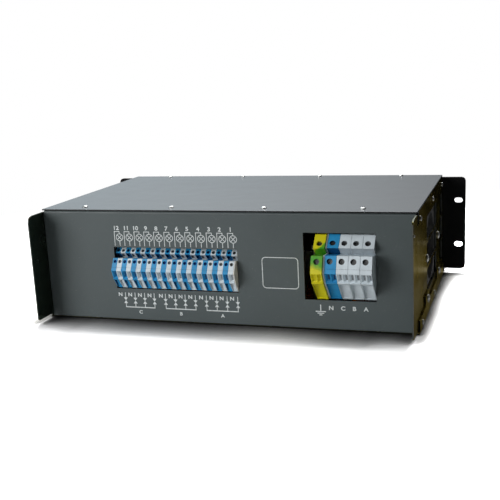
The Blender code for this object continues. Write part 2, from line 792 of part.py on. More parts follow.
def build_buttons():
    """Four round keys, each with a collar behind the plate."""
    back = FRONT_END - BUTTON_COLLAR_THICKNESS
    length = PLATE_FACE + BUTTON_REACH - back
    xs = button_xs()
    key = cylinder((xs[0], back + length / 2, BUTTON_Z), BUTTON_RADIUS, length, "Y", 2 * HOLE_SIDES)
    collar_y = FRONT_END - BUTTON_COLLAR_THICKNESS / 2
    collar = cylinder((xs[0], collar_y, BUTTON_Z), BUTTON_COLLAR, BUTTON_COLLAR_THICKNESS, "Y", 2 * HOLE_SIDES)
    first = part(fuse(key, collar), "button_" + BUTTONS[0], KEY_GREY)
    for x, name in zip(xs[1:], BUTTONS[1:]):
        twin(first, "button_" + name, (x, first.location.y, BUTTON_Z))


def build_display():
    """Clear window for the read-out, with a rim behind the plate."""
    half_x = DISPLAY_SIZE[0] / 2
    half_z = DISPLAY_SIZE[1] / 2
    outline = rounded_about((CONTROL_X, DISPLAY_Z), DISPLAY_SIZE, DISPLAY_RIM)
    back = FRONT_END - DISPLAY_RIM / 2
    front = PLATE_FACE + GAP
    pane = flat(outline, front - back, "Y", (back + front) / 2)
    low = (CONTROL_X - half_x - DISPLAY_RIM, FRONT_END - DISPLAY_RIM, DISPLAY_Z - half_z - DISPLAY_RIM)
    high = (CONTROL_X + half_x + DISPLAY_RIM, FRONT_END, DISPLAY_Z + half_z + DISPLAY_RIM)
    rim = box(low, high)
    return part(fuse(pane, rim), "display_window", DISPLAY_RED)


def build_control_board():
    """Circuit board behind the keys and the read-out, on four posts."""
    back = FRONT_END - BOARD_STANDOFF
    low = (BANK_RIGHT + BOARD_MARGIN, back - BOARD_THICKNESS, BOARD_BASE)
    high = (HALF_BODY - FLANGE - BOARD_MARGIN / 2, back, BOARD_TOP)
    board = box(low, high)
    length = BOARD_STANDOFF + BOARD_THICKNESS / 2
    for x in (low[0] + STANDOFF_INSET, high[0] - STANDOFF_INSET):
        for z in (low[2] + STANDOFF_INSET, high[2] - STANDOFF_INSET):
            fuse(board, cylinder((x, FRONT_END - length / 2, z), STANDOFF_RADIUS, length, "Y", HOLE_SIDES))
    return part(board, "control_board", BOARD_GREEN)


def pin_places(x):
    """Middles of the three contacts of a socket, in X and Z."""
    turns = (math.radians(90 + 120 * i) for i in range(3))
    return [(x + PIN_CIRCLE * math.cos(t), SOCKET_Z + PIN_CIRCLE * math.sin(t)) for t in turns]


def socket_body(x):
    """Square flange on the plate's face with the barrel through the plate."""
    face = PLATE_FACE + GAP
    outline = rounded_about((x, SOCKET_Z), SOCKET_FLANGE[:2], SOCKET_FLANGE[2])
    body = flat(outline, SOCKET_FLANGE[2], "Y", face + SOCKET_FLANGE[2] / 2)
    back = BODY_DEPTH - SOCKET_DEPTH
    front = face + SOCKET_FLANGE[2] / 2
    return fuse(body, cylinder((x, (back + front) / 2, SOCKET_Z), SOCKET_BARREL, front - back, "Y"))


def build_sockets():
    """Control signal sockets: one with pins for the input, one with an insert for the output."""
    mouth = PLATE_FACE + GAP + SOCKET_FLANGE[2]
    input_x, output_x = socket_xs()
    bottom = mouth - INPUT_BORE_DEPTH
    male = socket_body(input_x)
    carve(male, cylinder((input_x, mouth, SOCKET_Z), INPUT_BORE, 2 * INPUT_BORE_DEPTH, "Y"))
    for x, z in pin_places(input_x):
        pin_y = bottom + (PIN_LENGTH - PIN_RADIUS) / 2
        fuse(male, cylinder((x, pin_y, z), PIN_RADIUS, PIN_LENGTH + PIN_RADIUS, "Y", HOLE_SIDES))
    part(male, "signal_input_socket", SOCKET_METAL)
    female = socket_body(output_x)
    carve(female, cylinder((output_x, mouth, SOCKET_Z), OUTPUT_BORE, 2 * OUTPUT_BORE_DEPTH, "Y"))
    length = OUTPUT_BORE_DEPTH
    insert_y = mouth - OUTPUT_BORE_DEPTH / 2 - PIN_RADIUS
    fuse(female, cylinder((output_x, insert_y, SOCKET_Z), OUTPUT_INSERT, length, "Y"))
    for x, z in pin_places(output_x):
        carve(female, cylinder((x, mouth, z), PIN_RADIUS, 2 * (OUTPUT_BORE_DEPTH - PIN_RADIUS), "Y", HOLE_SIDES))
    part(female, "signal_output_socket", SOCKET_METAL)


def fan_frame():
    """Square fan frame about its own middle: the motor's struts are on the inner side, at +X."""
    half = FAN_SIZE / 2
    hole = FAN_HOLE_SPACING / 2
    frame = flat(rounded((-half, -half), (half, half), FAN_CORNER), FAN_DEPTH, "X", 0.0)
    cutters = [cylinder((0.0, 0.0, 0.0), FAN_BORE, 2 * FAN_DEPTH, "X")]
    for y in (-hole, hole):
        for z in (-hole, hole):
            cutters.append(cylinder((0.0, y, z), FAN_HOLE, 2 * FAN_DEPTH, "X", HOLE_SIDES // 2))
    carve(frame, group(cutters))
    back = FAN_DEPTH / 2
    reach = (FAN_BORE + half) / 2
    front = back - FAN_STRUT_DEPTH
    strut = FAN_STRUT / 2
    fuse(frame, box((front, -reach, -strut), (back - GAP, reach, strut)))
    fuse(frame, box((front, -strut, -reach), (back - GAP, strut, reach)))
    fuse(frame, cylinder((back - FAN_STRUT / 2 - GAP, 0.0, 0.0), FAN_MOTOR, FAN_STRUT, "X"))
    return frame


def fan_impeller():
    """Hub with pitched blades about the fan's middle."""
    hub_back = FAN_DEPTH / 2 - GAP - FAN_STRUT - FAN_RUNNING_GAP
    middle = hub_back - FAN_HUB_LENGTH / 2
    hub = cylinder((middle, 0.0, 0.0), FAN_HUB, FAN_HUB_LENGTH, "X")
    tip = FAN_BORE - FAN_TIP_CLEARANCE
    root = FAN_HUB - BLADE_ROOT
    blades = []
    for index in range(FAN_BLADES):
        turn = Matrix.Rotation(2 * math.pi * index / FAN_BLADES, 4, "X")
        low = (-BLADE_THICKNESS / 2, -BLADE_CHORD / 2, root)
        high = (BLADE_THICKNESS / 2, BLADE_CHORD / 2, tip)
        blade = box(low, high)
        origin_to(blade, (0.0, 0.0, 0.0))
        pitched = Matrix.Rotation(math.radians(BLADE_PITCH), 4, "Z")
        blade.data.transform(Matrix.Translation((middle, 0.0, 0.0)) @ turn @ pitched)
        blades.append(blade)
    rim = cylinder((middle, 0.0, 0.0), tip, FAN_DEPTH, "X")
    bpy.context.view_layer.update()
    fan = boolean_copy(group(blades), rim)
    return fuse(hub, fan)


def boolean_copy(obj, other):
    """The common part of two helper solids, worked out at once."""
    boolean(obj, other, "INTERSECT")
    return settled(obj)


def build_fans():
    """A fan behind the first column of air openings on each side."""
    middle_y, middle_z = VENT_MIDDLE
    turned = Euler((0.0, 0.0, math.pi))
    middle_x = (FAN_OUTER_X + FAN_INNER_X) / 2
    for build, name, look in ((fan_frame, "fan_frame", FAN_BLACK), (fan_impeller, "fan_impeller", FAN_GREY)):
        left = part(build(), name + "_left", look)
        origin_to(left, (0.0, 0.0, 0.0))
        left.data.transform(left.rotation_euler.to_matrix().to_4x4())
        left.rotation_euler = (0.0, 0.0, 0.0)
        left.location = (-middle_x, middle_y, middle_z)
        twin(left, name + "_right", (middle_x, middle_y, middle_z), rotation=turned)


def build_heatsink():
    """Finned cooler across the case between the fans, its fins standing on the tray."""
    middle_y = VENT_MIDDLE[0]
    half_x = SINK_LENGTH / 2
    back = middle_y - SINK_DEPTH / 2
    sink = box((-half_x, back, SINK_TOP - SINK_BASE), (half_x, back + SINK_DEPTH, SINK_TOP))
    pitch = (SINK_DEPTH - FIN_THICKNESS) / (SINK_FINS - 1)
    fins = []
    for index in range(SINK_FINS):
        y = back + index * pitch
        fins.append(box((-half_x, y, FLOOR), (half_x, y + FIN_THICKNESS, SINK_TOP - SINK_BASE / 2)))
    return part(fuse(sink, group(fins)), "heatsink", ALUMINIUM)


def build_modules():
    """One thyristor module for each phase, on the cooler."""
    base_z = SINK_TOP + GAP
    middle_y = VENT_MIDDLE[0]
    half_x, half_y = MODULE_SIZE[0] / 2, MODULE_SIZE[1] / 2
    top_x, top_y = MODULE_TOP[0] / 2, MODULE_TOP[1] / 2
    base = box((-half_x, -half_y, 0.0), (half_x, half_y, MODULE_SIZE[2]))
    origin_to(base, (0.0, 0.0, 0.0))
    upper = box((-top_x, -top_y, MODULE_SIZE[2] / 2), (top_x, top_y, MODULE_SIZE[2] + MODULE_TOP[2]))
    first = part(fuse(base, upper), "thyristor_module_" + BANKS[0], MODULE_BLACK)
    first.location = (-MODULE_SPACING, middle_y, base_z)
    for index, name in enumerate(BANKS[1:]):
        twin(first, "thyristor_module_" + name, (index * MODULE_SPACING, middle_y, base_z))


def build_choke_bank():
    """Twelve ring chokes on edge, sunk into one mounting plate."""
    start = HAT_BACK + CHOKE_CLEARANCE
    middle_y = start + CHOKE_OUTER
    ring_z = FLOOR + CHOKE_PLATE + CHOKE_OUTER - CHOKE_SINK
    half = CHANNELS * CHOKE_SPACING / 2
    plate = box((-half, start, FLOOR), (half, start + 2 * CHOKE_OUTER, FLOOR + CHOKE_PLATE))
    rings = []
    holes = []
    for index in range(CHANNELS):
        centre = ((index + 0.5) * CHOKE_SPACING - half, middle_y, ring_z)
        rings.append(cylinder(centre, CHOKE_OUTER, CHOKE_WIDTH, "X", HOLE_SIDES))
        holes.append(cylinder(centre, CHOKE_INNER, 2 * CHOKE_WIDTH, "X", HOLE_SIDES))
    return part(carve(fuse(plate, group(rings)), group(holes)), "choke_bank", CHOKE_COPPER)


def build_transformer():
    """Supply transformer of the controls, on the tray in front of the right fan."""
    start = VENT_MIDDLE[0] + FAN_SIZE / 2 + CORE_CLEARANCE
    right = INNER_X - CORE_INSET
    middle_x = right - CORE_SIZE[0] / 2
    middle_y = start + WINDING_SIZE[1] / 2
    half_y = CORE_SIZE[1] / 2
    core = box((right - CORE_SIZE[0], middle_y - half_y, FLOOR), (right, middle_y + half_y, FLOOR + CORE_SIZE[2]))
    low_z = FLOOR + (CORE_SIZE[2] - WINDING_SIZE[2]) / 2
    half_x = WINDING_SIZE[0] / 2
    low = (middle_x - half_x, start, low_z)
    high = (middle_x + half_x, start + WINDING_SIZE[1], low_z + WINDING_SIZE[2])
    return part(fuse(core, box(low, high)), "control_transformer", BARE_STEEL)


clear_scene()
PARTS = new_collection("dimmer_rack")
CUTTERS = new_collection("cutters")
RIG = new_rig()

PASSIVATED = finish("yellow_passivated_steel", (0.30, 0.27, 0.16), 0.45, 0.6)
CASE_GREY = finish("case_grey_paint", (0.10, 0.115, 0.115), 0.5)
EAR_BLACK = finish("front_black_paint", (0.02, 0.02, 0.022), 0.5)
NEUTRAL_BLUE = finish("terminal_blue", (0.10, 0.42, 0.75), 0.45)
TERMINAL_GREY = finish("terminal_grey", (0.62, 0.65, 0.70), 0.5)
EARTH_YELLOW = finish("terminal_yellow", (0.75, 0.65, 0.05), 0.45)
END_BEIGE = finish("end_plate_beige", (0.55, 0.52, 0.45), 0.5)
BARE_STEEL = finish("bare_steel", (0.5, 0.5, 0.5), 0.35, 1.0)
BREAKER_WHITE = finish("breaker_white", (0.75, 0.75, 0.73), 0.5)
LEVER_BLACK = finish("lever_black", (0.02, 0.02, 0.02), 0.4)
KEY_GREY = finish("key_grey", (0.25, 0.26, 0.27), 0.5)
DISPLAY_RED = finish("display_red", (0.12, 0.01, 0.01), 0.15)
BOARD_GREEN = finish("board_green", (0.02, 0.16, 0.06), 0.4)
SOCKET_METAL = finish("socket_metal", (0.35, 0.35, 0.36), 0.35, 0.9)
FAN_BLACK = finish("fan_black", (0.02, 0.02, 0.02), 0.5)
FAN_GREY = finish("fan_grey", (0.05, 0.05, 0.055), 0.45)
ALUMINIUM = finish("heatsink_aluminium", (0.6, 0.6, 0.6), 0.4, 1.0)
MODULE_BLACK = finish("module_black", (0.03, 0.03, 0.03), 0.5)
CHOKE_COPPER = finish("choke_copper", (0.55, 0.25, 0.10), 0.35, 0.8)

build_bottom_tray()
build_top_cover()
build_rear_panel()
build_side_panel(-1, "side_panel_left")
build_side_panel(1, "side_panel_right")
build_front_panel()
build_channel_terminals()
build_channel_end_plate()
build_mains_terminals()
build_rails()
build_breakers()
build_buttons()
build_display()
build_control_board()
build_sockets()
build_fans()
build_heatsink()
build_modules()
build_choke_bank()
build_transformer()
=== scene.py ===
"""Dresses the dimmer rack: finishes, terminals, printing, screws, fans and power parts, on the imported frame.

Every length is in metres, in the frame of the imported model: the connection panel faces -Y, the
operator's front plate faces +Y and +Z is up.
"""

from __future__ import annotations

import logging
import math
from dataclasses import dataclass, field
from enum import Enum

import bmesh
import bpy
import numpy as np
from mathutils import Matrix, Vector


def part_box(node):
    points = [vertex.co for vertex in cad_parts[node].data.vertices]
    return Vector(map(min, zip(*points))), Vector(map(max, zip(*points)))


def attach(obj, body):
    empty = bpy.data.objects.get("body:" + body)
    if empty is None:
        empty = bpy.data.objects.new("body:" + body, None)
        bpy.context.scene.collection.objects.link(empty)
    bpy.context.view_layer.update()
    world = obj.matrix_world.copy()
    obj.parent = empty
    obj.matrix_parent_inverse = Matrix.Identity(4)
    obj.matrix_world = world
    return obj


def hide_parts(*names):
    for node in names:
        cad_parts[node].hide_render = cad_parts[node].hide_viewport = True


LOG = logging.getLogger("dimmer_rack")
Pair = tuple[float, float]
Line = tuple[Pair, ...]
Triple = tuple[float, float, float]
Colour = Triple
Face = tuple[int, ...]
Points = np.ndarray
Ring = tuple[Pair, Pair, float]
Socket = bpy.types.NodeSocket
Material = bpy.types.Material

CHASSIS = "chassis"
INK_LIFT = 0.00004
INK_THICK = 0.00006
INK_SWELL = 0.040
CAPITAL_SHARE = 0.70
DOUBLE = 1e-7
OUT = -0.0005


class Axis(Enum):
    """The world axis that a shape is carried along, with the two axes of its flat outline."""

    X = (0, 1, 2)
    Y = (1, 0, 2)
    Z = (2, 0, 1)


def srgb(red: float, green: float, blue: float) -> Colour:
    """Turns display values from 0 to 255 into linear light, by the sRGB curve.

    Args:
        red: Red as displayed.
        green: Green as displayed.
        blue: Blue as displayed.

    Returns:
        The linear colour.
    """
    shown = np.array([red, green, blue]) / 255.0
    linear = np.where(shown <= 0.04045, shown / 12.92, ((shown + 0.055) / 1.055) ** 2.4)
    return tuple(float(value) for value in linear)


# Flat shapes and meshes


@dataclass
class Shell:
    """Points and faces of a mesh, with a finish number for each face."""

    points: Points
    faces: list[Face]
    looks: list[int] = field(default_factory=list)

    def __post_init__(self) -> None:
        """Puts the points in rows of three, and gives each face the first finish where none is stated."""
        self.points = np.asarray(self.points, float).reshape(-1, 3)
        if not self.looks:
            self.looks = [0] * len(self.faces)

    def look(self, number: int) -> Shell:
        """The same mesh, all of it in another finish."""
        return Shell(self.points, self.faces, [number] * len(self.faces))

    def moved(self, by: Triple) -> Shell:
        """The same mesh, shifted."""
        return Shell(self.points + np.asarray(by, float), self.faces, list(self.looks))

    def turned(self, matrix: Matrix) -> Shell:
        """The same mesh under a 4 x 4 matrix: each point is multiplied by it."""
        rows = np.array(matrix, float)
        return Shell(self.points @ rows[:3, :3].T + rows[:3, 3], self.faces, list(self.looks))


def joined(shells: list[Shell]) -> Shell:
    """Puts several meshes in one, each one's faces counted on from the last one's points.

    Args:
        shells: The meshes.

    Returns:
        One mesh.
    """
    starts = np.cumsum([0] + [len(shell.points) for shell in shells]).tolist()
    faces = [
        tuple(start + corner for corner in face)
        for start, shell in zip(starts, shells)
        for face in shell.faces
    ]
    looks = [number for shell in shells for number in shell.looks]
    return Shell(np.concatenate([shell.points for shell in shells]), faces, looks)


def grid_faces(rows: int, columns: int, closed: bool = False) -> list[Face]:
    """Quads between neighbours of a grid of points whose columns go round.

    Args:
        rows: Number of rows of points.
        columns: Number of points in a row.
        closed: Whether the last row is tied to the first as well.

    Returns:
        The quads as point numbers.
    """
    row = np.arange(rows if closed else rows - 1)[:, None] * columns
    below = (row + columns) % (rows * columns)
    column = np.arange(columns)[None, :]
    after = (column + 1) % columns
    corners = [row + column, row + after, below + after, below + column]
    return [tuple(quad) for quad in np.stack(corners, axis=-1).reshape(-1, 4).tolist()]


def lofted(points: Points) -> Shell:
    """A solid through rows of points that go round, the first and last row closed by a face each.

    Args:
        points: Array of rows, points in a row and three coordinates.

    Returns:
        The closed mesh.
    """
    rows, columns = points.shape[:2]
    count = rows * columns
    ends = [tuple(range(columns)), tuple(range(count - 1, count - columns - 1, -1))]
    return Shell(points, grid_faces(rows, columns) + ends)


def prism(outline: Points, low: float, high: float, axis: Axis) -> Shell:
    """Carries a closed flat outline straight from low to high along an axis, with both ends closed.

    Args:
        outline: Corners in order, in the two axes of the plane.
        low: Where the shape starts along the axis.
        high: Where it ends.
        axis: The direction.

    Returns:
        The closed mesh.
    """
    flat = np.asarray(outline, float)
    along, first, second = axis.value
    points = np.zeros((2, len(flat), 3))
    points[:, :, first] = flat[:, 0]
    points[:, :, second] = flat[:, 1]
    points[:, :, along] = [[low], [high]]
    return lofted(points)


def block(low: Triple, high: Triple) -> Shell:
    """A box from its lowest to its highest corner, as a four sided prism."""
    outline = [(low[0], low[1]), (high[0], low[1]), (high[0], high[1]), (low[0], high[1])]
    return prism(outline, low[2], high[2], Axis.Z)


def slab(middle: Triple, size: Triple) -> Shell:
    """A box about the middle of its lower face.

    Args:
        middle: The middle of its lower face.
        size: Its sizes in X, Y and Z.

    Returns:
        The closed mesh.
    """
    x, y, z = middle
    half_x, half_y = size[0] / 2, size[1] / 2
    return block((x - half_x, y - half_y, z), (x + half_x, y + half_y, z + size[2]))


def turned_shape(profile: Points, centre: Triple, axis: Axis, sides: int = 32) -> Shell:
    """Turns a profile of (distance along, radius) about an axis.

    A point is centre + distance along the axis + radius (cos, sin) of the step's angle.

    Args:
        profile: Distances along the axis and radii, from one pole to the other.
        centre: The point from which distances count.
        axis: The direction of the axis.
        sides: Steps round.

    Returns:
        The mesh, with poles where the radius is nought.
    """
    line = np.asarray(profile, float)
    turn = np.linspace(0.0, 2 * np.pi, sides, endpoint=False)
    along, first, second = axis.value
    points = np.zeros((len(line), sides, 3))
    points[:, :, along] = line[:, :1]
    points[:, :, first] = line[:, 1:] * np.cos(turn)
    points[:, :, second] = line[:, 1:] * np.sin(turn)
    return Shell(points, grid_faces(len(line), sides)).moved(centre)


def arc(centre: Pair, radius: float, start: float, end: float, steps: int = 8) -> Points:
    """Points on an arc between two angles in degrees: centre + radius (cos, sin) of the step's angle."""
    turn = np.radians(np.linspace(start, end, steps + 1))
    return np.asarray(centre) + radius * np.stack([np.cos(turn), np.sin(turn)], axis=1)


def circle(centre: Pair, radius: float, sides: int) -> Points:
    """A full circle of some sides, as an arc that stops one step before its start."""
    return arc(centre, radius, 0.0, 360.0 - 360.0 / sides, sides - 1)


def rounded(low: Pair, high: Pair, radius: float, steps: int = 6) -> Points:
    """A rectangle whose corners are quarter circles.

    Args:
        low: Its lowest corner.
        high: Its highest corner.
        radius: Radius of the corners.
        steps: Steps in each corner.

    Returns:
        The outline.
    """
    middles = [
        (high[0] - radius, high[1] - radius), (low[0] + radius, high[1] - radius),
        (low[0] + radius, low[1] + radius), (high[0] - radius, low[1] + radius),
    ]
    corners = [arc(middle, radius, 90.0 * i, 90.0 * i + 90.0, steps) for i, middle in enumerate(middles)]
    return np.concatenate(corners)


def stroke(start: Pair, end: Pair, width: float) -> Points:
    """A straight line of some width: both ends shifted half the width to each side.

    Args:
        start: Its start.
        end: Its end.
        width: Its width.

    Returns:
        The outline.
    """
    ends = np.array([start, end], float)
    ahead = ends[1] - ends[0]
    side = np.array([-ahead[1], ahead[0]]) / np.linalg.norm(ahead) * width / 2
    return np.array([ends[0] - side, ends[1] - side, ends[1] + side, ends[0] + side])


def band(outer: Points, inner: Points, low: float, high: float, axis: Axis) -> Shell:
    """A frame between two outlines of as many points, carried from low to high along an axis.

    Args:
        outer: Outer outline.
        inner: Inner outline.
        low: Where the frame starts along the axis.
        high: Where it ends.
        axis: The direction.

    Returns:
        The closed mesh.
    """
    along, first, second = axis.value
    points = np.zeros((4, len(outer), 3))
    for row, (loop, place) in enumerate([(outer, low), (outer, high), (inner, high), (inner, low)]):
        points[row, :, first] = loop[:, 0]
        points[row, :, second] = loop[:, 1]
        points[row, :, along] = place
    return Shell(points, grid_faces(4, len(outer), closed=True))


def mesh_shell(mesh: bpy.types.Mesh) -> Shell:
    """Reads the points and faces of a mesh.

    Args:
        mesh: The mesh.

    Returns:
        A copy of it, all in the first finish.
    """
    points = np.zeros(len(mesh.vertices) * 3)
    mesh.vertices.foreach_get("co", points)
    return Shell(points, [tuple(polygon.vertices) for polygon in mesh.polygons])


def worked_out(obj: bpy.types.Object) -> Shell:
    """Reads an object as its modifiers or its text make it.

    Args:
        obj: The object, linked to the scene.

    Returns:
        A copy of its mesh.
    """
    graph = bpy.context.evaluated_depsgraph_get()
    mesh = bpy.data.meshes.new_from_object(obj.evaluated_get(graph))
    shell = mesh_shell(mesh)
    bpy.data.meshes.remove(mesh)
    return shell


def linked(name: str, data: bpy.types.ID) -> bpy.types.Object:
    """Puts data in the scene as an object.

    Args:
        name: The object's name.
        data: Its mesh, text, lamp or camera.

    Returns:
        The object, at the origin.
    """
    obj = bpy.data.objects.new(name, data)
    bpy.context.scene.collection.objects.link(obj)
    return obj


def cut(base: Shell, tools: list[Shell]) -> Shell:
    """Takes the tools out of the base with one exact Boolean, in two scratch objects.

    Args:
        base: The solid.
        tools: Solids to take out. They don't touch each other.

    Returns:
        What is left, with the base's finish.
    """
    solids = [linked("scratch", solid_mesh("scratch", shell)) for shell in (base, joined(tools))]
    step = solids[0].modifiers.new("cut", "BOOLEAN")
    step.operation = "DIFFERENCE"
    step.solver = "EXACT"
    step.object = solids[1]
    left = worked_out(solids[0])
    for solid in solids:
        bpy.data.objects.remove(solid, do_unlink=True)
    return left


def solid_mesh(name: str, shell: Shell) -> bpy.types.Mesh:
    """Makes a mesh, merges its doubles and turns its faces outwards.

    Args:
        name: The mesh's name.
        shell: Points and faces.

    Returns:
        The mesh.
    """
    mesh = bpy.data.meshes.new(name)
    mesh.from_pydata(shell.points.tolist(), [], shell.faces)
    mesh.polygons.foreach_set("material_index", np.array(shell.looks, np.int32))
    build = bmesh.new()
    build.from_mesh(mesh)
    bmesh.ops.remove_doubles(build, verts=build.verts, dist=DOUBLE)
    bmesh.ops.recalc_face_normals(build, faces=build.faces)
    build.to_mesh(mesh)
    build.free()
    return mesh


def lettering(words: str, size: float, place: Pair, width: float = 1.0) -> Shell:
    """Flat letters from Blender's own font, centred on a place in their plane.

    Args:
        words: The letters.
        size: Height of a capital letter.
        place: Middle of the letters in the plane.
        width: How much wider than the font they are drawn.

    Returns:
        The letters as thin solids, lying in X and Y with their thickness along Z.
    """
    curve = bpy.data.curves.new("letters", "FONT")
    curve.body = words
    curve.align_x = "CENTER"
    curve.align_y = "CENTER"
    curve.size = size / CAPITAL_SHARE
    curve.extrude = INK_THICK / 2
    curve.offset = size * INK_SWELL
    curve.resolution_u = 4
    obj = linked("letters", curve)
    flat = worked_out(obj)
    bpy.data.objects.remove(obj, do_unlink=True)
    points = flat.points * (width, 1.0, 1.0)
    middle = (points.min(axis=0) + points.max(axis=0)) / 2
    return Shell(points - middle + (place[0], place[1], 0.0), flat.faces)


# Finishes


class Graph:
    """A node tree, with short calls for the nodes that the finishes, the floor and the world use."""

    def __init__(self, tree: bpy.types.NodeTree) -> None:
        """Takes hold of the tree."""
        self.tree = tree

    def feed(self, target: Socket, value: object) -> None:
        """Ties an input to an output, or sets it.

        Args:
            target: The input.
            value: An output, a number, a vector, or a colour without its alpha.
        """
        if isinstance(value, bpy.types.NodeSocket):
            self.tree.links.new(value, target)
        elif target.type == "RGBA":
            target.default_value = (*value, 1.0)
        else:
            target.default_value = value

    def add(self, kind: str, feeds: dict[str | int, object], **settings: object) -> bpy.types.Node:
        """Adds a node.

        Args:
            kind: Its type, without the ShaderNode at its start.
            feeds: What each input gets, by the input's name or number.
            **settings: The node's own properties.

        Returns:
            The node.
        """
        node = self.tree.nodes.new("ShaderNode" + kind)
        for name, value in settings.items():
            setattr(node, name, value)
        for key, value in feeds.items():
            self.feed(node.inputs[key], value)
        return node

    def place(self, kind: str = "Object") -> Socket:
        """The coordinates of a shaded point."""
        return self.add("TexCoord", {}).outputs[kind]

    def part(self, vector: Socket, name: str) -> Socket:
        """One component of a vector."""
        return self.add("SeparateXYZ", {0: vector}).outputs[name]

    def ray(self, kind: str) -> Socket:
        """Whether a ray is of a kind, as 1 or 0."""
        return self.add("LightPath", {}).outputs[f"Is {kind} Ray"]

    def maths(self, operation: str, first: object, second: object = 0.0) -> Socket:
        """One sum on two outputs or numbers."""
        return self.add("Math", {0: first, 1: second}, operation=operation).outputs[0]

    def spread(self, value: Socket, low: float, high: float, to: Pair = (0.0, 1.0)) -> Socket:
        """Carries the range from low to high over to another range, held at its ends."""
        feeds = {"Value": value, "From Min": low, "From Max": high, "To Min": to[0], "To Max": to[1]}
        return self.add("MapRange", feeds).outputs["Result"]

    def mix(self, share: object, first: object, second: object) -> Socket:
        """A colour between two colours or outputs."""
        return self.add("Mix", {0: share, 6: first, 7: second}, data_type="RGBA").outputs[2]


class Paint(Graph):
    """A material's nodes round one Principled shader, with patterns on Object coordinates."""

    def __init__(self, finish: Finish, metallic: float = 0.0) -> None:
        """Starts a finish's material.

        Args:
            finish: The finish, for its name and the roughness where nothing drives it.
            metallic: The shader's metallic value.
        """
        self.material = bpy.data.materials.new(finish.name)
        self.material.use_nodes = True
        super().__init__(self.material.node_tree)
        self.shader = self.tree.nodes["Principled BSDF"]
        self.give("Metallic", metallic)
        self.give("Roughness", finish.gloss)

    def give(self, name: str, value: object) -> None:
        """Drives or sets one input of the shader."""
        self.feed(self.shader.inputs[name], value)

    def stretched(self, scale: Triple) -> Socket:
        """Object coordinates, scaled along each axis."""
        return self.add("Mapping", {"Vector": self.place(), "Scale": scale}).outputs["Vector"]

    def noise(self, scale: float, detail: float = 4.0, stretch: Triple = (1.0, 1.0, 1.0)) -> Socket:
        """Fractal noise from 0 to 1, about scale features to the metre."""
        feeds = {"Vector": self.stretched(stretch), "Scale": scale, "Detail": detail}
        return self.add("TexNoise", feeds).outputs["Fac"]

    def clouds(self, scale: float, detail: float, to: Pair = (0.0, 1.0)) -> Socket:
        """Noise whose middle part is spread over a range."""
        return self.spread(self.noise(scale, detail), 0.35, 0.65, to)

    def patches(self, scale: float, detail: float, down: float, up: float, gloss: float) -> Socket:
        """Noise as a roughness that lies between gloss - down and gloss + up."""
        return self.spread(self.noise(scale, detail), 0.3, 0.7, (gloss - down, gloss + up))

    def facing(self, name: str) -> Socket:
        """One component of the surface's normal."""
        return self.part(self.add("NewGeometry", {}).outputs["Normal"], name)

    def square_to(self, name: str) -> Socket:
        """1 where the surface faces along an axis either way, and 0 elsewhere."""
        return self.spread(self.maths("ABSOLUTE", self.facing(name)), 0.75, 0.9)

    def bump(self, height: Socket, depth: float, strength: float) -> None:
        """Tilts the surface by a height pattern of the given depth in metres."""
        feeds = {"Strength": strength, "Distance": depth, "Height": height}
        self.give("Normal", self.add("Bump", feeds).outputs["Normal"])


def toned(colour: Colour, share: float) -> Colour:
    """A colour times a share, held at 1."""
    return tuple(min(1.0, value * share) for value in colour)


@dataclass(frozen=True)
class Finish:
    """A finish that is made once and then shared."""

    name: str
    colour: Colour
    gloss: float = 0.5

    def material(self) -> Material:
        """The finish's material, made on its first use."""
        return bpy.data.materials.get(self.name) or self.make()

    def make(self) -> Material:
        """Builds the material."""
        raise NotImplementedError


@dataclass(frozen=True)
class PowderCoat(Finish):
    """Baked powder paint: fine orange peel, faint cloudiness, dust specks and rubbed patches, and painted
    shade in an edge colour on the faces square to one axis, where that colour is given.
    """

    peel: float = 0.00012
    cloud: float = 0.12
    dust: Colour = (0.5, 0.5, 0.5)
    # Colour of painted shade on the faces square to the axis below, for seams and notches.
    edge: Colour | None = None
    shade_axis: str = "Y"
    rubbed: float = 0.06
    sheen: float = 0.5

    def make(self) -> Material:
        """Peel from fine noise as bump, clouds from coarse noise, specks from the peaks of a third.

        Returns:
            The material, with painted shade in the edge colour on the faces square to the given axis, where
            that colour is given.
        """
        paint = Paint(self)
        darker, lighter = toned(self.colour, 1.0 - self.cloud), toned(self.colour, 1.0 + self.cloud)
        tone = paint.mix(paint.clouds(14.0, 5.0), darker, lighter)
        specks = paint.spread(paint.noise(900.0, 3.0), 0.70, 0.78, (0.0, 0.35))
        painted = paint.mix(specks, tone, self.dust)
        # Painted shade: the faces square to the axis take the edge colour.
        if self.edge is not None:
            painted = paint.mix(paint.square_to(self.shade_axis), painted, self.edge)
        paint.give("Base Color", painted)
        paint.give("Specular IOR Level", self.sheen)
        paint.give("Roughness", paint.patches(40.0, 6.0, self.rubbed, self.rubbed, self.gloss))
        paint.bump(paint.noise(2600.0, 2.0), self.peel, 0.35)
        return paint.material


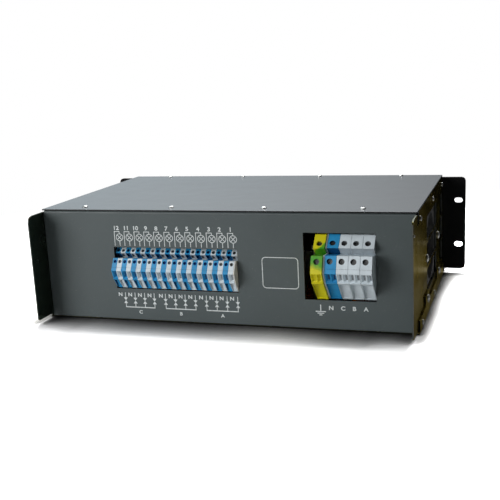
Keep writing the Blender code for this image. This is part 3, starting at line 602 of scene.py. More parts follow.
@dataclass(frozen=True)
class PassivatedZinc(Finish):
    """Zinc plate with a yellow olive passivation that drifts between tints, and dull cut edges in a colour of
    their own, which on the tray is near black, painted shade of the seam under the panel.
    """

    second: Colour = (0.2, 0.2, 0.2)
    edge: Colour = (0.3, 0.3, 0.3)
    edge_axes: str = "Y"
    grazing: Colour = (0.5, 0.4, 0.15)
    inner: Colour | None = None
    edge_dulling: float = 0.35
    inner_limits: Pair = (-0.10, -0.15)

    def make(self) -> Material:
        """Tint from coarse noise between two colours, grain as bump, cut edges by the normal.

        The inner face of a side sheet is where x times the normal's x is well below nought.

        Returns:
            The material.
        """
        paint = Paint(self, 0.96)
        tone = paint.mix(paint.clouds(18.0, 5.0), self.colour, self.second)
        share = 0.0
        for axis in self.edge_axes:
            share = paint.maths("MAXIMUM", paint.square_to(axis), share)
        tone = paint.mix(share, tone, self.edge)
        if self.inner is not None:
            inward = paint.maths("MULTIPLY", paint.part(paint.place(), "X"), paint.facing("X"))
            tone = paint.mix(paint.spread(inward, *self.inner_limits), tone, self.inner)
        paint.give("Base Color", tone)
        paint.give("Specular Tint", self.grazing)
        dulled = paint.maths("MULTIPLY", share, self.edge_dulling)
        patches = paint.patches(45.0, 5.0, 0.05, 0.08, self.gloss)
        paint.give("Roughness", paint.maths("ADD", patches, dulled))
        paint.bump(paint.noise(1400.0, 3.0), 0.00003, 0.3)
        return paint.material


@dataclass(frozen=True)
class BareMetal(Finish):
    """Bright metal with fine marks along one direction and a little dulling."""

    lay: Triple = (1.0, 0.03, 1.0)
    marks: float = 1200.0
    tarnish: float = 0.72

    def make(self) -> Material:
        """Marks from stretched noise in the bump, dulling from coarse noise in colour and roughness.

        Returns:
            The material.
        """
        paint = Paint(self, 1.0)
        dull = paint.noise(70.0, 5.0)
        tarnished = toned(self.colour, self.tarnish)
        paint.give("Base Color", paint.mix(paint.spread(dull, 0.35, 0.7), self.colour, tarnished))
        paint.give("Roughness", paint.spread(dull, 0.3, 0.7, (self.gloss, self.gloss + 0.18)))
        paint.bump(paint.noise(self.marks, 3.0, self.lay), 0.00003, 0.6)
        return paint.material


@dataclass(frozen=True)
class Moulding(Finish):
    """Moulded plastic: a fine spark eroded texture and faint flow marks."""

    drift: float = 0.06
    sheen: float = 0.5
    grain: float = 0.00003

    def moulded(self, paint: Paint) -> Material:
        """Gives a shader the roughness and the fine texture of a moulding.

        Args:
            paint: The nodes round the shader.

        Returns:
            Their material.
        """
        paint.give("Roughness", paint.patches(300.0, 3.0, 0.05, 0.07, self.gloss))
        paint.give("Specular IOR Level", self.sheen)
        paint.bump(paint.noise(4200.0, 2.0), self.grain, 0.4)
        return paint.material

    def make(self) -> Material:
        """Texture from fine noise as bump, flow marks from stretched noise in the colour.

        Returns:
            The material.
        """
        paint = Paint(self)
        flow = paint.spread(paint.noise(120.0, 4.0, (1.0, 1.0, 0.3)), 0.35, 0.65)
        darker, lighter = toned(self.colour, 1.0 - self.drift), toned(self.colour, 1.0 + self.drift)
        paint.give("Base Color", paint.mix(flow, darker, lighter))
        return self.moulded(paint)


@dataclass(frozen=True)
class EarthMoulding(Moulding):
    """Yellow plastic of a protective earth block, green between two slanted borders."""

    green: Colour = (0.1, 0.3, 0.1)
    middle_x: float = 0.0
    lower: float = 0.0
    upper: float = 0.0
    slant: float = 0.35
    upper_slant: float = -0.77
    soft: float = 0.0060
    waver: float = 0.0016

    def make(self) -> Material:
        """Green where the height, bent by x and by noise, lies between the borders, and yellow elsewhere.

        A border's height is its own value less its slant times the distance in x from the block's middle.

        Returns:
            The material.
        """
        paint = Paint(self)
        place = paint.place()
        beside = paint.maths("SUBTRACT", paint.part(place, "X"), self.middle_x)
        waver = paint.spread(paint.noise(260.0, 3.0), 0.3, 0.7, (-self.waver, self.waver))
        height = paint.maths("ADD", paint.part(place, "Z"), waver)
        above = paint.maths("ADD", height, paint.maths("MULTIPLY", beside, self.slant))
        below = paint.maths("ADD", height, paint.maths("MULTIPLY", beside, self.upper_slant))
        share = paint.maths(
            "MULTIPLY", paint.spread(above, self.lower, self.lower + self.soft),
            paint.spread(below, self.upper, self.upper + 0.4 * self.soft, (1.0, 0.0)),
        )
        shaded = paint.maths("MULTIPLY", share, paint.clouds(150.0, 4.0, (0.88, 1.0)))
        paint.give("Base Color", paint.mix(shaded, self.colour, self.green))
        return self.moulded(paint)


@dataclass(frozen=True)
class Ink(Finish):
    """Screen printing ink with slightly uneven cover."""

    def make(self) -> Material:
        """Cover from noise: thin places are darker.

        Returns:
            The material.
        """
        paint = Paint(self)
        cover = paint.spread(paint.noise(700.0, 4.0), 0.3, 0.55)
        paint.give("Base Color", paint.mix(cover, toned(self.colour, 0.75), self.colour))
        paint.bump(paint.noise(3000.0, 2.0), 0.00002, 0.3)
        return paint.material


@dataclass(frozen=True)
class CircuitBoard(Finish):
    """Green solder resist over copper tracks."""

    def make(self) -> Material:
        """Tracks where the distance to the nearest of a set of points passes a limit, raised and lighter.

        Returns:
            The material.
        """
        paint = Paint(self)
        cells = paint.add("TexVoronoi", {"Vector": paint.stretched((1.0, 1.0, 0.35)), "Scale": 260.0})
        tracks = paint.spread(cells.outputs["Distance"], 0.42, 0.48)
        lighter = tuple(min(1.0, value * 1.9 + 0.01) for value in self.colour)
        paint.give("Base Color", paint.mix(tracks, self.colour, lighter))
        paint.bump(tracks, 0.00004, 0.8)
        return paint.material


@dataclass(frozen=True)
class TintedPane(Finish):
    """Dark red glossy pane over the read-out."""

    def make(self) -> Material:
        """A plain colour under a clear coat, with a faint smear in its roughness.

        Returns:
            The material.
        """
        paint = Paint(self)
        paint.give("Base Color", self.colour)
        paint.give("Coat Weight", 0.6)
        paint.give("Coat Roughness", 0.05)
        paint.give("Roughness", paint.patches(35.0, 6.0, 0.0, 0.08, self.gloss))
        return paint.material


@dataclass(frozen=True)
class Glow(Finish):
    """Lit bars of the read-out and the lamps beside the keys."""

    strength: float = 1.0

    def make(self) -> Material:
        """A slightly uneven colour with emission of the same hue.

        Returns:
            The material.
        """
        paint = Paint(self)
        uneven = paint.spread(paint.noise(500.0, 2.0), 0.3, 0.7, (0.0, 0.4))
        paint.give("Base Color", paint.mix(uneven, self.colour, toned(self.colour, 0.3)))
        paint.give("Emission Color", self.colour)
        paint.give("Emission Strength", self.strength)
        return paint.material


# Its faces square to X, the side flanges seen through the notch beside the wing, are painted near black:
# painted shade.
PANEL_GREY = PowderCoat(
    "panel_grey_powder", srgb(77, 86, 87), 0.5, cloud=0.03, edge=srgb(5, 5, 5), shade_axis="X"
)
# Its edges square to Y are painted near black: painted shade of the seam under the cover's front edge.
COVER_GREY = PowderCoat(
    "cover_grey_powder", srgb(66, 70, 73), 0.36, peel=0.00004, cloud=0.015, edge=srgb(9, 11, 13),
    rubbed=0.012,
)
PLATE_BLACK = PowderCoat("plate_black_powder", srgb(8, 7, 8), 0.62, dust=srgb(20, 20, 21), sheen=0.18)
SIDE_OLIVE = PassivatedZinc(
    "side_olive_passivation", srgb(154, 143, 80), 0.2, second=srgb(132, 122, 58), edge=srgb(104, 108, 107),
    edge_axes="YZ", grazing=srgb(150, 136, 62), inner=srgb(84, 98, 91),
)
# Its cut edges square to Y are painted near black: painted shade of the seam under the connection panel.
TRAY_OLIVE = PassivatedZinc(
    "tray_olive_passivation", srgb(152, 142, 84), 0.28, second=srgb(130, 120, 66), edge=srgb(36, 38, 35),
    grazing=srgb(170, 156, 96),
)
BRIGHT_ZINC = BareMetal("bright_zinc", srgb(205, 207, 205), 0.26)
BLACK_OXIDE = BareMetal("black_oxide", srgb(52, 52, 54), 0.4)
LAMINATIONS = BareMetal("laminations", srgb(120, 120, 124), 0.45, lay=(0.02, 1.0, 0.02), marks=2400.0)
RAIL_STEEL = BareMetal("rail_steel", srgb(176, 176, 172), 0.34, lay=(0.03, 1.0, 1.0))
CLAMP_STEEL = BareMetal("clamp_steel", srgb(112, 112, 112), 0.5)
# Screws in the blue blocks are painted dark blue: painted shade with a painted blue reflection from the well.
CLAMP_PAINTED_BLUE_REFLECTION = BareMetal("clamp_steel_painted_blue_reflection", srgb(28, 62, 128), 0.5)
ALUMINIUM = BareMetal("extruded_aluminium", srgb(190, 192, 194), 0.36, lay=(0.02, 1.0, 1.0), marks=900.0)
NICKEL = BareMetal("satin_nickel", srgb(150, 148, 142), 0.34, lay=(1.0, 1.0, 1.0))
GOLD_PIN = BareMetal("gilt_pin", srgb(222, 188, 110), 0.25)
COPPER = BareMetal("enamelled_copper", srgb(178, 98, 52), 0.3, lay=(1.0, 1.0, 1.0), marks=500.0)
# Each block plastic comes with two darker copies, painted shade: one for the recess and the foot's groove, one
# inside the wells and the entry.
BLUE_LOOKS = [
    Moulding("block_blue", srgb(38, 146, 202), 0.42), Moulding("block_blue_shade", srgb(10, 86, 136), 0.5),
    Moulding("block_blue_painted_deep_shade", srgb(5, 62, 100), 0.55),
]
GREY_LOOKS = [
    Moulding("block_light_grey", srgb(212, 223, 229), 0.46),
    Moulding("block_grey_shade", srgb(192, 200, 206), 0.5),
    Moulding("block_grey_painted_deep_shade", srgb(134, 140, 144), 0.55),
]
BLOCK_BEIGE = Moulding("end_plate_beige", srgb(200, 198, 188), 0.5)
EARTH_LOOK = EarthMoulding(
    "earth_green_yellow", srgb(214, 206, 2), 0.44, green=srgb(62, 158, 30), middle_x=0.1136, lower=0.0715,
    upper=0.0905,
)
BREAKER_WHITE = Moulding("breaker_white", srgb(226, 226, 222), 0.44)
LEVER_BLACK = Moulding("lever_black", srgb(36, 36, 38), 0.34)
KEY_GREY = Moulding("key_grey", srgb(120, 123, 126), 0.5)
FAN_BLACK = Moulding("fan_black", srgb(16, 16, 17), 0.6, sheen=0.0)
IMPELLER_GREY = Moulding("impeller_grey", srgb(24, 25, 27), 0.5, sheen=0.06)
MODULE_BLACK = Moulding("module_black", srgb(40, 40, 42), 0.5)
INSERT_BLACK = Moulding("insert_black", srgb(24, 24, 25), 0.38)
CORE_GREEN = Moulding("core_green_epoxy", srgb(70, 104, 84), 0.4)
WINDING_TAPE = Moulding("winding_tape", srgb(196, 166, 74), 0.5)
WHITE_INK = Ink("white_ink", srgb(222, 228, 228), 0.55)
BLACK_INK = Ink("black_ink", srgb(30, 30, 32), 0.55)
BOARD_GREEN = CircuitBoard("solder_resist_green", srgb(24, 96, 50), 0.35)
PANE_RED = TintedPane("read_out_pane", srgb(58, 6, 8), 0.1)
DIGIT_RED = Glow("read_out_digits", srgb(255, 50, 40), 0.4, strength=1.3)
DIGIT_DARK = Moulding("read_out_dark_bars", srgb(64, 14, 14), 0.4)
LAMP_GREEN = Glow("lamp_green", srgb(60, 200, 80), 0.3, strength=0.35)


# Pieces


def middle_of(node: str) -> Triple:
    """The middle of a node's box."""
    low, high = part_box(node)
    return tuple((first + last) / 2 for first, last in zip(low, high))


def add_piece(
    name: str,
    shell: Shell,
    looks: list[Finish],
    body: str = CHASSIS,
    bevel: float = 0.0,
    nodes: tuple[str, ...] = (),
    sharp: float = 35.0,
) -> None:
    """Makes a finished piece at the origin, which rides on a body.

    Args:
        name: The piece's name.
        shell: Its mesh, in the frame.
        looks: Its finishes, by the faces' finish numbers.
        body: The body that it moves with.
        bevel: Width of its edge rounding.
        nodes: Nodes of the frame that it stands for.
        sharp: Angle in degrees past which an edge stays sharp.
    """
    mesh = solid_mesh(name, shell)
    mesh.shade_smooth()
    mesh.set_sharp_from_angle(angle=math.radians(sharp))
    obj = linked(name, mesh)
    for finish in looks:
        mesh.materials.append(finish.material())
    if bevel > 0.0:
        soften(obj, bevel)
    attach(obj, body)
    if nodes:
        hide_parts(*nodes)
    LOG.info("piece %s: %d faces", name, len(mesh.polygons))


def soften(obj: bpy.types.Object, width: float) -> None:
    """Rounds a piece's edges with a two step bevel.

    Args:
        obj: The piece.
        width: Width of the rounding.
    """
    step = obj.modifiers.new("edges", "BEVEL")
    step.width = width
    step.segments = 2
    step.limit_method = "ANGLE"
    step.angle_limit = math.radians(40.0)
    step.harden_normals = False


def node_shell(name: str) -> Shell:
    """A node's solid, its loose triangles joined where their corners agree to six decimals.

    Args:
        name: The node's name.

    Returns:
        A copy of its mesh.
    """
    loose = mesh_shell(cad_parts[name].data)
    points, order = np.unique(np.round(loose.points, 6), axis=0, return_inverse=True)
    order = order.reshape(-1).tolist()
    return Shell(points, [tuple(order[corner] for corner in face) for face in loose.faces])


def dress_node(name: str, finish: Finish, bevel: float) -> None:
    """Gives a node of the frame its finish, and rounds its edges after a weld of its loose triangles.

    Args:
        name: The node's name.
        finish: Its finish.
        bevel: Width of its edge rounding.
    """
    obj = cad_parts[name]
    for held in obj.material_slots:
        held.material = finish.material()
    weld = obj.modifiers.new("weld", "WELD")
    weld.merge_threshold = 0.00001
    soften(obj, bevel)
    LOG.info("node %s in %s", name, finish.name)


@dataclass
class PanHead:
    """A pan head screw with a cross recess, facing along one axis."""

    radius: float = 0.0029
    height: float = 0.0019
    recess: float = 0.0011
    fall: float = 0.55
    curve: float = 2.6
    arm: Pair = (0.17, 0.07)
    reach: Pair = (0.62, 0.2)
    rings: int = 12
    sides: int = 40

    def shell(self, place: Triple, axis: Axis, sign: float, turn: float = 20.0) -> Shell:
        """Height over the seat is that of a flattened dome, less a cross shaped pit that fades outwards.

        Args:
            place: Middle of the seat.
            axis: The direction that the head faces.
            sign: Which way along it.
            turn: How far the cross is turned, in degrees.

        Returns:
            The head, closed below.
        """
        share = np.linspace(0.0, 1.0, self.rings + 1)[:, None]
        angle = np.linspace(0.0, 2 * np.pi, self.sides, endpoint=False)[None, :]
        first, second = share * np.cos(angle), share * np.sin(angle)
        tilt = math.radians(turn)
        along = np.abs(first * math.cos(tilt) + second * math.sin(tilt))
        across = np.abs(second * math.cos(tilt) - first * math.sin(tilt))
        pit = np.clip((self.arm[0] - np.minimum(along, across)) / self.arm[1], 0.0, 1.0)
        pit = pit * np.clip((self.reach[0] - np.maximum(along, across)) / self.reach[1], 0.0, 1.0)
        up, one, two = axis.value
        points = np.zeros((self.rings + 3, self.sides, 3))
        points[:-2, :, up] = sign * (self.height * (1.0 - self.fall * share**self.curve) - self.recess * pit)
        points[:-1, :, one] = self.radius * np.vstack([first, first[-1:]])
        points[:-1, :, two] = self.radius * np.vstack([second, second[-1:]])
        return Shell(points, grid_faces(self.rings + 3, self.sides)).moved(place)


@dataclass
class SlotHead:
    """A cheese head screw with one slot: a disc that carries two half discs."""

    radius: float
    height: float = 0.0012
    slot: float = 0.0005
    steps: int = 12

    def shell(self, turn: float) -> Shell:
        """The head about the origin, facing -Y.

        Args:
            turn: How far the slot is turned, in degrees.

        Returns:
            The three solids.
        """
        shells = [prism(circle((0.0, 0.0), self.radius, 24), 0.0, self.height / 2, Axis.Y)]
        edge = math.degrees(math.asin(self.slot / self.radius))
        for start in (turn, turn + 180.0):
            half = arc((0.0, 0.0), self.radius, start + edge, start + 180.0 - edge, self.steps)
            shells.append(prism(half, -self.height / 2, 0.0, Axis.Y))
        return joined(shells)


@dataclass
class Case:
    """Sheet metal case: finishes of its sheets and the screws that hold them."""

    half_width: float = 0.2125
    cover_rows: Line = ((0.016, -0.1656), (0.2520, -0.1600))
    cover_pitch: float = 0.1070
    cover_count: int = 4
    side_rise: float = 0.1170
    side_ys: tuple[float, ...] = (0.024, 0.142, 0.250)
    rail_rise: float = 0.0064
    rail_ys: tuple[float, ...] = (0.024, 0.140, 0.250)
    large_places: Line = ((0.0800, 0.0620), (0.1980, 0.0630))
    tab_places: Line = ((0.0730, 0.0185), (0.1910, 0.0200))
    wing_place: Pair = (-0.0262, 0.1090)
    plate_x: float = 0.2065
    plate_zs: Pair = (0.030, 0.100)
    edge: float = 0.0003
    notch: Pair = (-0.0004, 0.0162)
    notch_deep: float = 0.0130
    notch_clear: float = 0.002
    lip_tall: float = 0.0050
    lip_thick: float = 0.0015
    lip_gap: float = 0.0008

    def build(self) -> None:
        """Dresses the sheets and adds every screw of the case."""
        finishes = {
            "top_cover": COVER_GREY, "rear_panel": PANEL_GREY, "bottom_tray": TRAY_OLIVE,
            "side_panel_left": SIDE_OLIVE, "front_panel": PLATE_BLACK,
        }
        for node, finish in finishes.items():
            dress_node(node, finish, self.edge)
        self.right_sheet()
        self.cover_screws()
        self.side_screws("left", -1.0)
        self.side_screws("right", 1.0)
        self.plate_screws()
        self.cover_lip()

    def cover_screws(self) -> None:
        """Two rows of screws in the cover."""
        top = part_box("top_cover")[1].z
        head = PanHead(radius=0.0030)
        shells = []
        for row, (depth, first) in enumerate(self.cover_rows):
            for index in range(self.cover_count):
                place = (first + index * self.cover_pitch, PANEL_FACE + depth, top)
                shells.append(head.shell(place, Axis.Z, 1.0, 17.0 * index + 40.0 * row))
        add_piece("cover_screws", joined(shells), [BRIGHT_ZINC])

    def right_sheet(self) -> None:
        """The right side sheet, with the relief notch beside its wing opened to its full width."""
        node = "side_panel_right"
        low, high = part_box(node)
        first, last = (PANEL_FACE + y for y in self.notch)
        start = (low.x - self.notch_clear, first, high.z - self.notch_deep)
        end = (high.x + self.notch_clear, last, high.z + self.notch_clear)
        sheet = cut(node_shell(node), [block(start, end)])
        add_piece("side_sheet_right", sheet, [SIDE_OLIVE], bevel=self.edge, nodes=(node,))

    def cover_lip(self) -> None:
        """The cover's turned-down edge behind the front plate, which closes the slit over the plate."""
        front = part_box("front_panel")[0].y - self.lip_gap
        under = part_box("top_cover")[0].z
        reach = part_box("side_panel_right")[0].x - self.lip_thick
        start = (-reach, front - self.lip_thick, under - self.lip_tall)
        strip = block(start, (reach, front, under + 0.0001))
        add_piece("cover_lip", strip, [COVER_GREY], bevel=0.0002)

    def plate_screws(self) -> None:
        """Four black screws that hold the front plate on the side sheets."""
        places = [(x, z) for x in (-self.plate_x, self.plate_x) for z in self.plate_zs]
        shells = [PanHead().shell((x, PLATE_FACE, z), Axis.Y, 1.0, 9000.0 * x + 400.0 * z) for x, z in places]
        add_piece("plate_screws", joined(shells), [BLACK_OXIDE])

    def side_screws(self, word: str, side: float) -> None:
        """Small screws along the sheet's top edge and the rail, large ones in the middle and the tabs.

        Args:
            word: Which side.
            side: Its sign in X.
        """
        small = PanHead(radius=0.0028)
        large = PanHead(radius=0.0046, height=0.0026, recess=0.0015)
        sheet_x = side * self.half_width
        rail_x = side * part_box("bottom_tray")[1].x
        # head, seat in X, places in Y and Z, degrees that the cross turns for each metre along the side
        rows = (
            (small, sheet_x, [(y, self.side_rise) for y in self.side_ys], 700.0),
            (small, rail_x, [(y, self.rail_rise) for y in self.rail_ys], 900.0),
            (large, sheet_x, self.large_places, 300.0), (large, rail_x, self.tab_places, 500.0),
        )
        shells = []
        for head, x, places, turn in rows:
            shells += [head.shell((x, PANEL_FACE + y, z), Axis.X, side, turn * y) for y, z in places]
        rivet = (sheet_x, PANEL_FACE + self.wing_place[0], self.wing_place[1])
        shells.append(PanHead(0.0016, 0.0010, 0.0004).shell(rivet, Axis.X, side))
        add_piece(f"side_screws_{word}", joined(shells), [BRIGHT_ZINC])


@dataclass
class Printing:
    """White printing on the connection panel, in X and Z of the panel's face.

    Each channel's marks stand one pitch left of the last one's. The shifts, in tenths of a millimetre, say
    how far a channel's mark lies off that pitch.
    """

    channels: int = 12
    pitch: float = 0.01218
    number_first: float = 0.0141
    number_rise: float = 0.1074
    number_size: float = 0.0045
    lamp_first: float = 0.0174
    lamp_rise: float = 0.0967
    lamp_radius: float = 0.0044
    line: float = 0.00075
    bracket_first: float = 0.0113
    bracket_top: float = 0.1033
    stem_bottom: float = 0.0871
    neutral_first: float = 0.0124
    neutral_rise: float = 0.0305
    neutral_size: float = 0.0041
    triac_first: float = 0.0190
    triac_top: float = 0.0270
    triac_bottom: float = 0.0203
    triac_half: float = 0.0024
    wire_top: float = 0.0330
    bus_rise: float = 0.0160
    bus_line: float = 0.0011
    group_rise: float = 0.0106
    group_size: float = 0.0037
    neutral_shifts: tuple[float, ...] = (2, 2, 6, 5, 0, 5, 7, 11, -6, -3, -1, 0)
    triac_shifts: tuple[float, ...] = (0, 0, 0, 1, -7, -7, -3, 0, -15, -11, -7, -4)
    lamp_shifts: tuple[float, ...] = (0, 0, 0, -2, -6, -6, -9, -10, -7, -4, -4, -3)
    number_shifts: tuple[float, ...] = (7, 4, 4, 0, -6, -4, -6, -6, -8, -7, -4, 0)
    mains_letters: tuple[tuple[str, float], ...] = (
        ("N", 0.1225), ("C", 0.1352), ("B", 0.1473), ("A", 0.1595),
    )
    mains_rise: float = 0.0249
    mains_size: float = 0.0043
    earth_x: float = 0.1112
    earth_stem: Pair = (0.0282, 0.0210)
    earth_bars: Line = ((0.0056, 0.0206), (0.0036, 0.0187), (0.0016, 0.0168))
    earth_line: float = 0.0010
    field_low: Pair = (0.0483, 0.0439)
    field_high: Pair = (0.0885, 0.0783)
    field_corner: float = 0.0042
    field_line: float = 0.0008
    letter_width: float = 1.12

    def build(self) -> None:
        """Makes all printing as one piece of thin solids just off the panel."""
        shells: list[Shell] = []
        for channel in range(self.channels):
            shells += self.channel_marks(channel)
        for group in range(3):
            shells += self.group_marks(group)
        shells += self.earth_marks()
        for letter, x in self.mains_letters:
            shells.append(self.word(letter, self.mains_size, (x, self.mains_rise)))
        outer = rounded(self.field_low, self.field_high, self.field_corner)
        low = tuple(value + self.field_line for value in self.field_low)
        high = tuple(value - self.field_line for value in self.field_high)
        shells.append(self.ring(outer, rounded(low, high, self.field_corner - self.field_line)))
        add_piece("panel_printing", joined(shells), [WHITE_INK])

    def across(self, first: float, shifts: tuple[float, ...], channel: int) -> float:
        """A mark's X: its first place, less a pitch for each channel, and its own shift."""
        return first - channel * self.pitch + 0.0001 * shifts[channel]

    def ink(self, outline: Points) -> Shell:
        """A flat outline as ink on the panel."""
        face = PANEL_FACE - INK_LIFT
        return prism(outline, face - INK_THICK, face, Axis.Y)

    def ring(self, outer: Points, inner: Points) -> Shell:
        """A line between two outlines as ink on the panel."""
        face = PANEL_FACE - INK_LIFT
        return band(outer, inner, face - INK_THICK, face, Axis.Y)

    def strokes(self, lines: list[tuple[Pair, Pair]]) -> list[Shell]:
        """Straight lines from start to end as ink on the panel."""
        return [self.ink(stroke(start, end, self.line)) for start, end in lines]

    def word(self, letters: str, size: float, place: Pair) -> Shell:
        """Letters stood up on the panel's face, read from -Y.

        Args:
            letters: The letters.
            size: Height of a capital letter.
            place: Their middle.

        Returns:
            The letters as thin solids.
        """
        flat = lettering(letters, size, place, self.letter_width)
        stood = flat.turned(Matrix.Rotation(math.pi / 2, 4, "X"))
        return stood.moved((0.0, PANEL_FACE - INK_LIFT - INK_THICK / 2, 0.0))

    def channel_marks(self, channel: int) -> list[Shell]:
        """Number, bracket, lamp, N and triac of one channel.

        Args:
            channel: The channel, from 0 at the right.

        Returns:
            Its marks.
        """
        lamp_x = self.across(self.lamp_first, self.lamp_shifts, channel)
        bracket_x = self.across(self.bracket_first, self.lamp_shifts, channel)
        triac_x = self.across(self.triac_first, self.triac_shifts, channel)
        number_x = self.across(self.number_first, self.number_shifts, channel)
        neutral_x = self.across(self.neutral_first, self.neutral_shifts, channel)
        middle = (lamp_x, self.lamp_rise)
        marks = [
            self.word(str(channel + 1), self.number_size, (number_x, self.number_rise)),
            self.word("N", self.neutral_size, (neutral_x, self.neutral_rise)),
            self.ring(circle(middle, self.lamp_radius, 36), circle(middle, self.lamp_radius - self.line, 36)),
        ]
        half = self.line / 2
        reach = (self.lamp_radius - half) * math.sqrt(0.5)
        rise = self.lamp_rise
        lines = [((lamp_x - reach, rise - reach), (lamp_x + reach, rise + reach))]
        for sign in (-1.0, 1.0):
            start = (lamp_x - sign * half, rise + sign * half)
            lines.append((start, (lamp_x - sign * reach, rise + sign * reach)))
        lines += [
            ((bracket_x, self.stem_bottom), (bracket_x, self.bracket_top + half)),
            ((bracket_x + half, self.bracket_top), (lamp_x + half, self.bracket_top)),
            ((lamp_x, self.bracket_top - half), (lamp_x, rise + self.lamp_radius)),
            ((lamp_x, rise - self.lamp_radius), (lamp_x, self.stem_bottom)),
            ((triac_x, self.wire_top), (triac_x, self.triac_top)),
            ((triac_x, self.triac_bottom), (triac_x, self.bus_rise + self.bus_line / 2)),
        ]
        marks += self.strokes(lines)
        tip = (triac_x, (self.triac_top + self.triac_bottom) / 2)
        ends = (triac_x - self.triac_half, triac_x + self.triac_half)
        for base in (self.triac_top, self.triac_bottom):
            marks.append(self.ink([*((x, base) for x in ends), tip]))
        return marks

    def group_marks(self, group: int) -> list[Shell]:
        """The bus line under four triacs and its letter.

        Args:
            group: The group, from 0 for A at the right.

        Returns:
            Its marks.
        """
        right, left = (self.across(self.triac_first, self.triac_shifts, 4 * group + end) for end in (0, 3))
        right += self.line / 2
        left -= self.line / 2
        bus = self.ink(stroke((left, self.bus_rise), (right, self.bus_rise), self.bus_line))
        return [bus, self.word("ABC"[group], self.group_size, ((left + right) / 2, self.group_rise))]

    def earth_marks(self) -> list[Shell]:
        """The earth symbol: a stem on three bars, each shorter than the last.

        Returns:
            Its marks.
        """
        x = self.earth_x
        lines = [tuple((x, rise) for rise in self.earth_stem)]
        lines += [((x - half, rise), (x + half, rise)) for half, rise in self.earth_bars]
        return [self.ink(stroke(start, end, self.earth_line)) for start, end in lines]


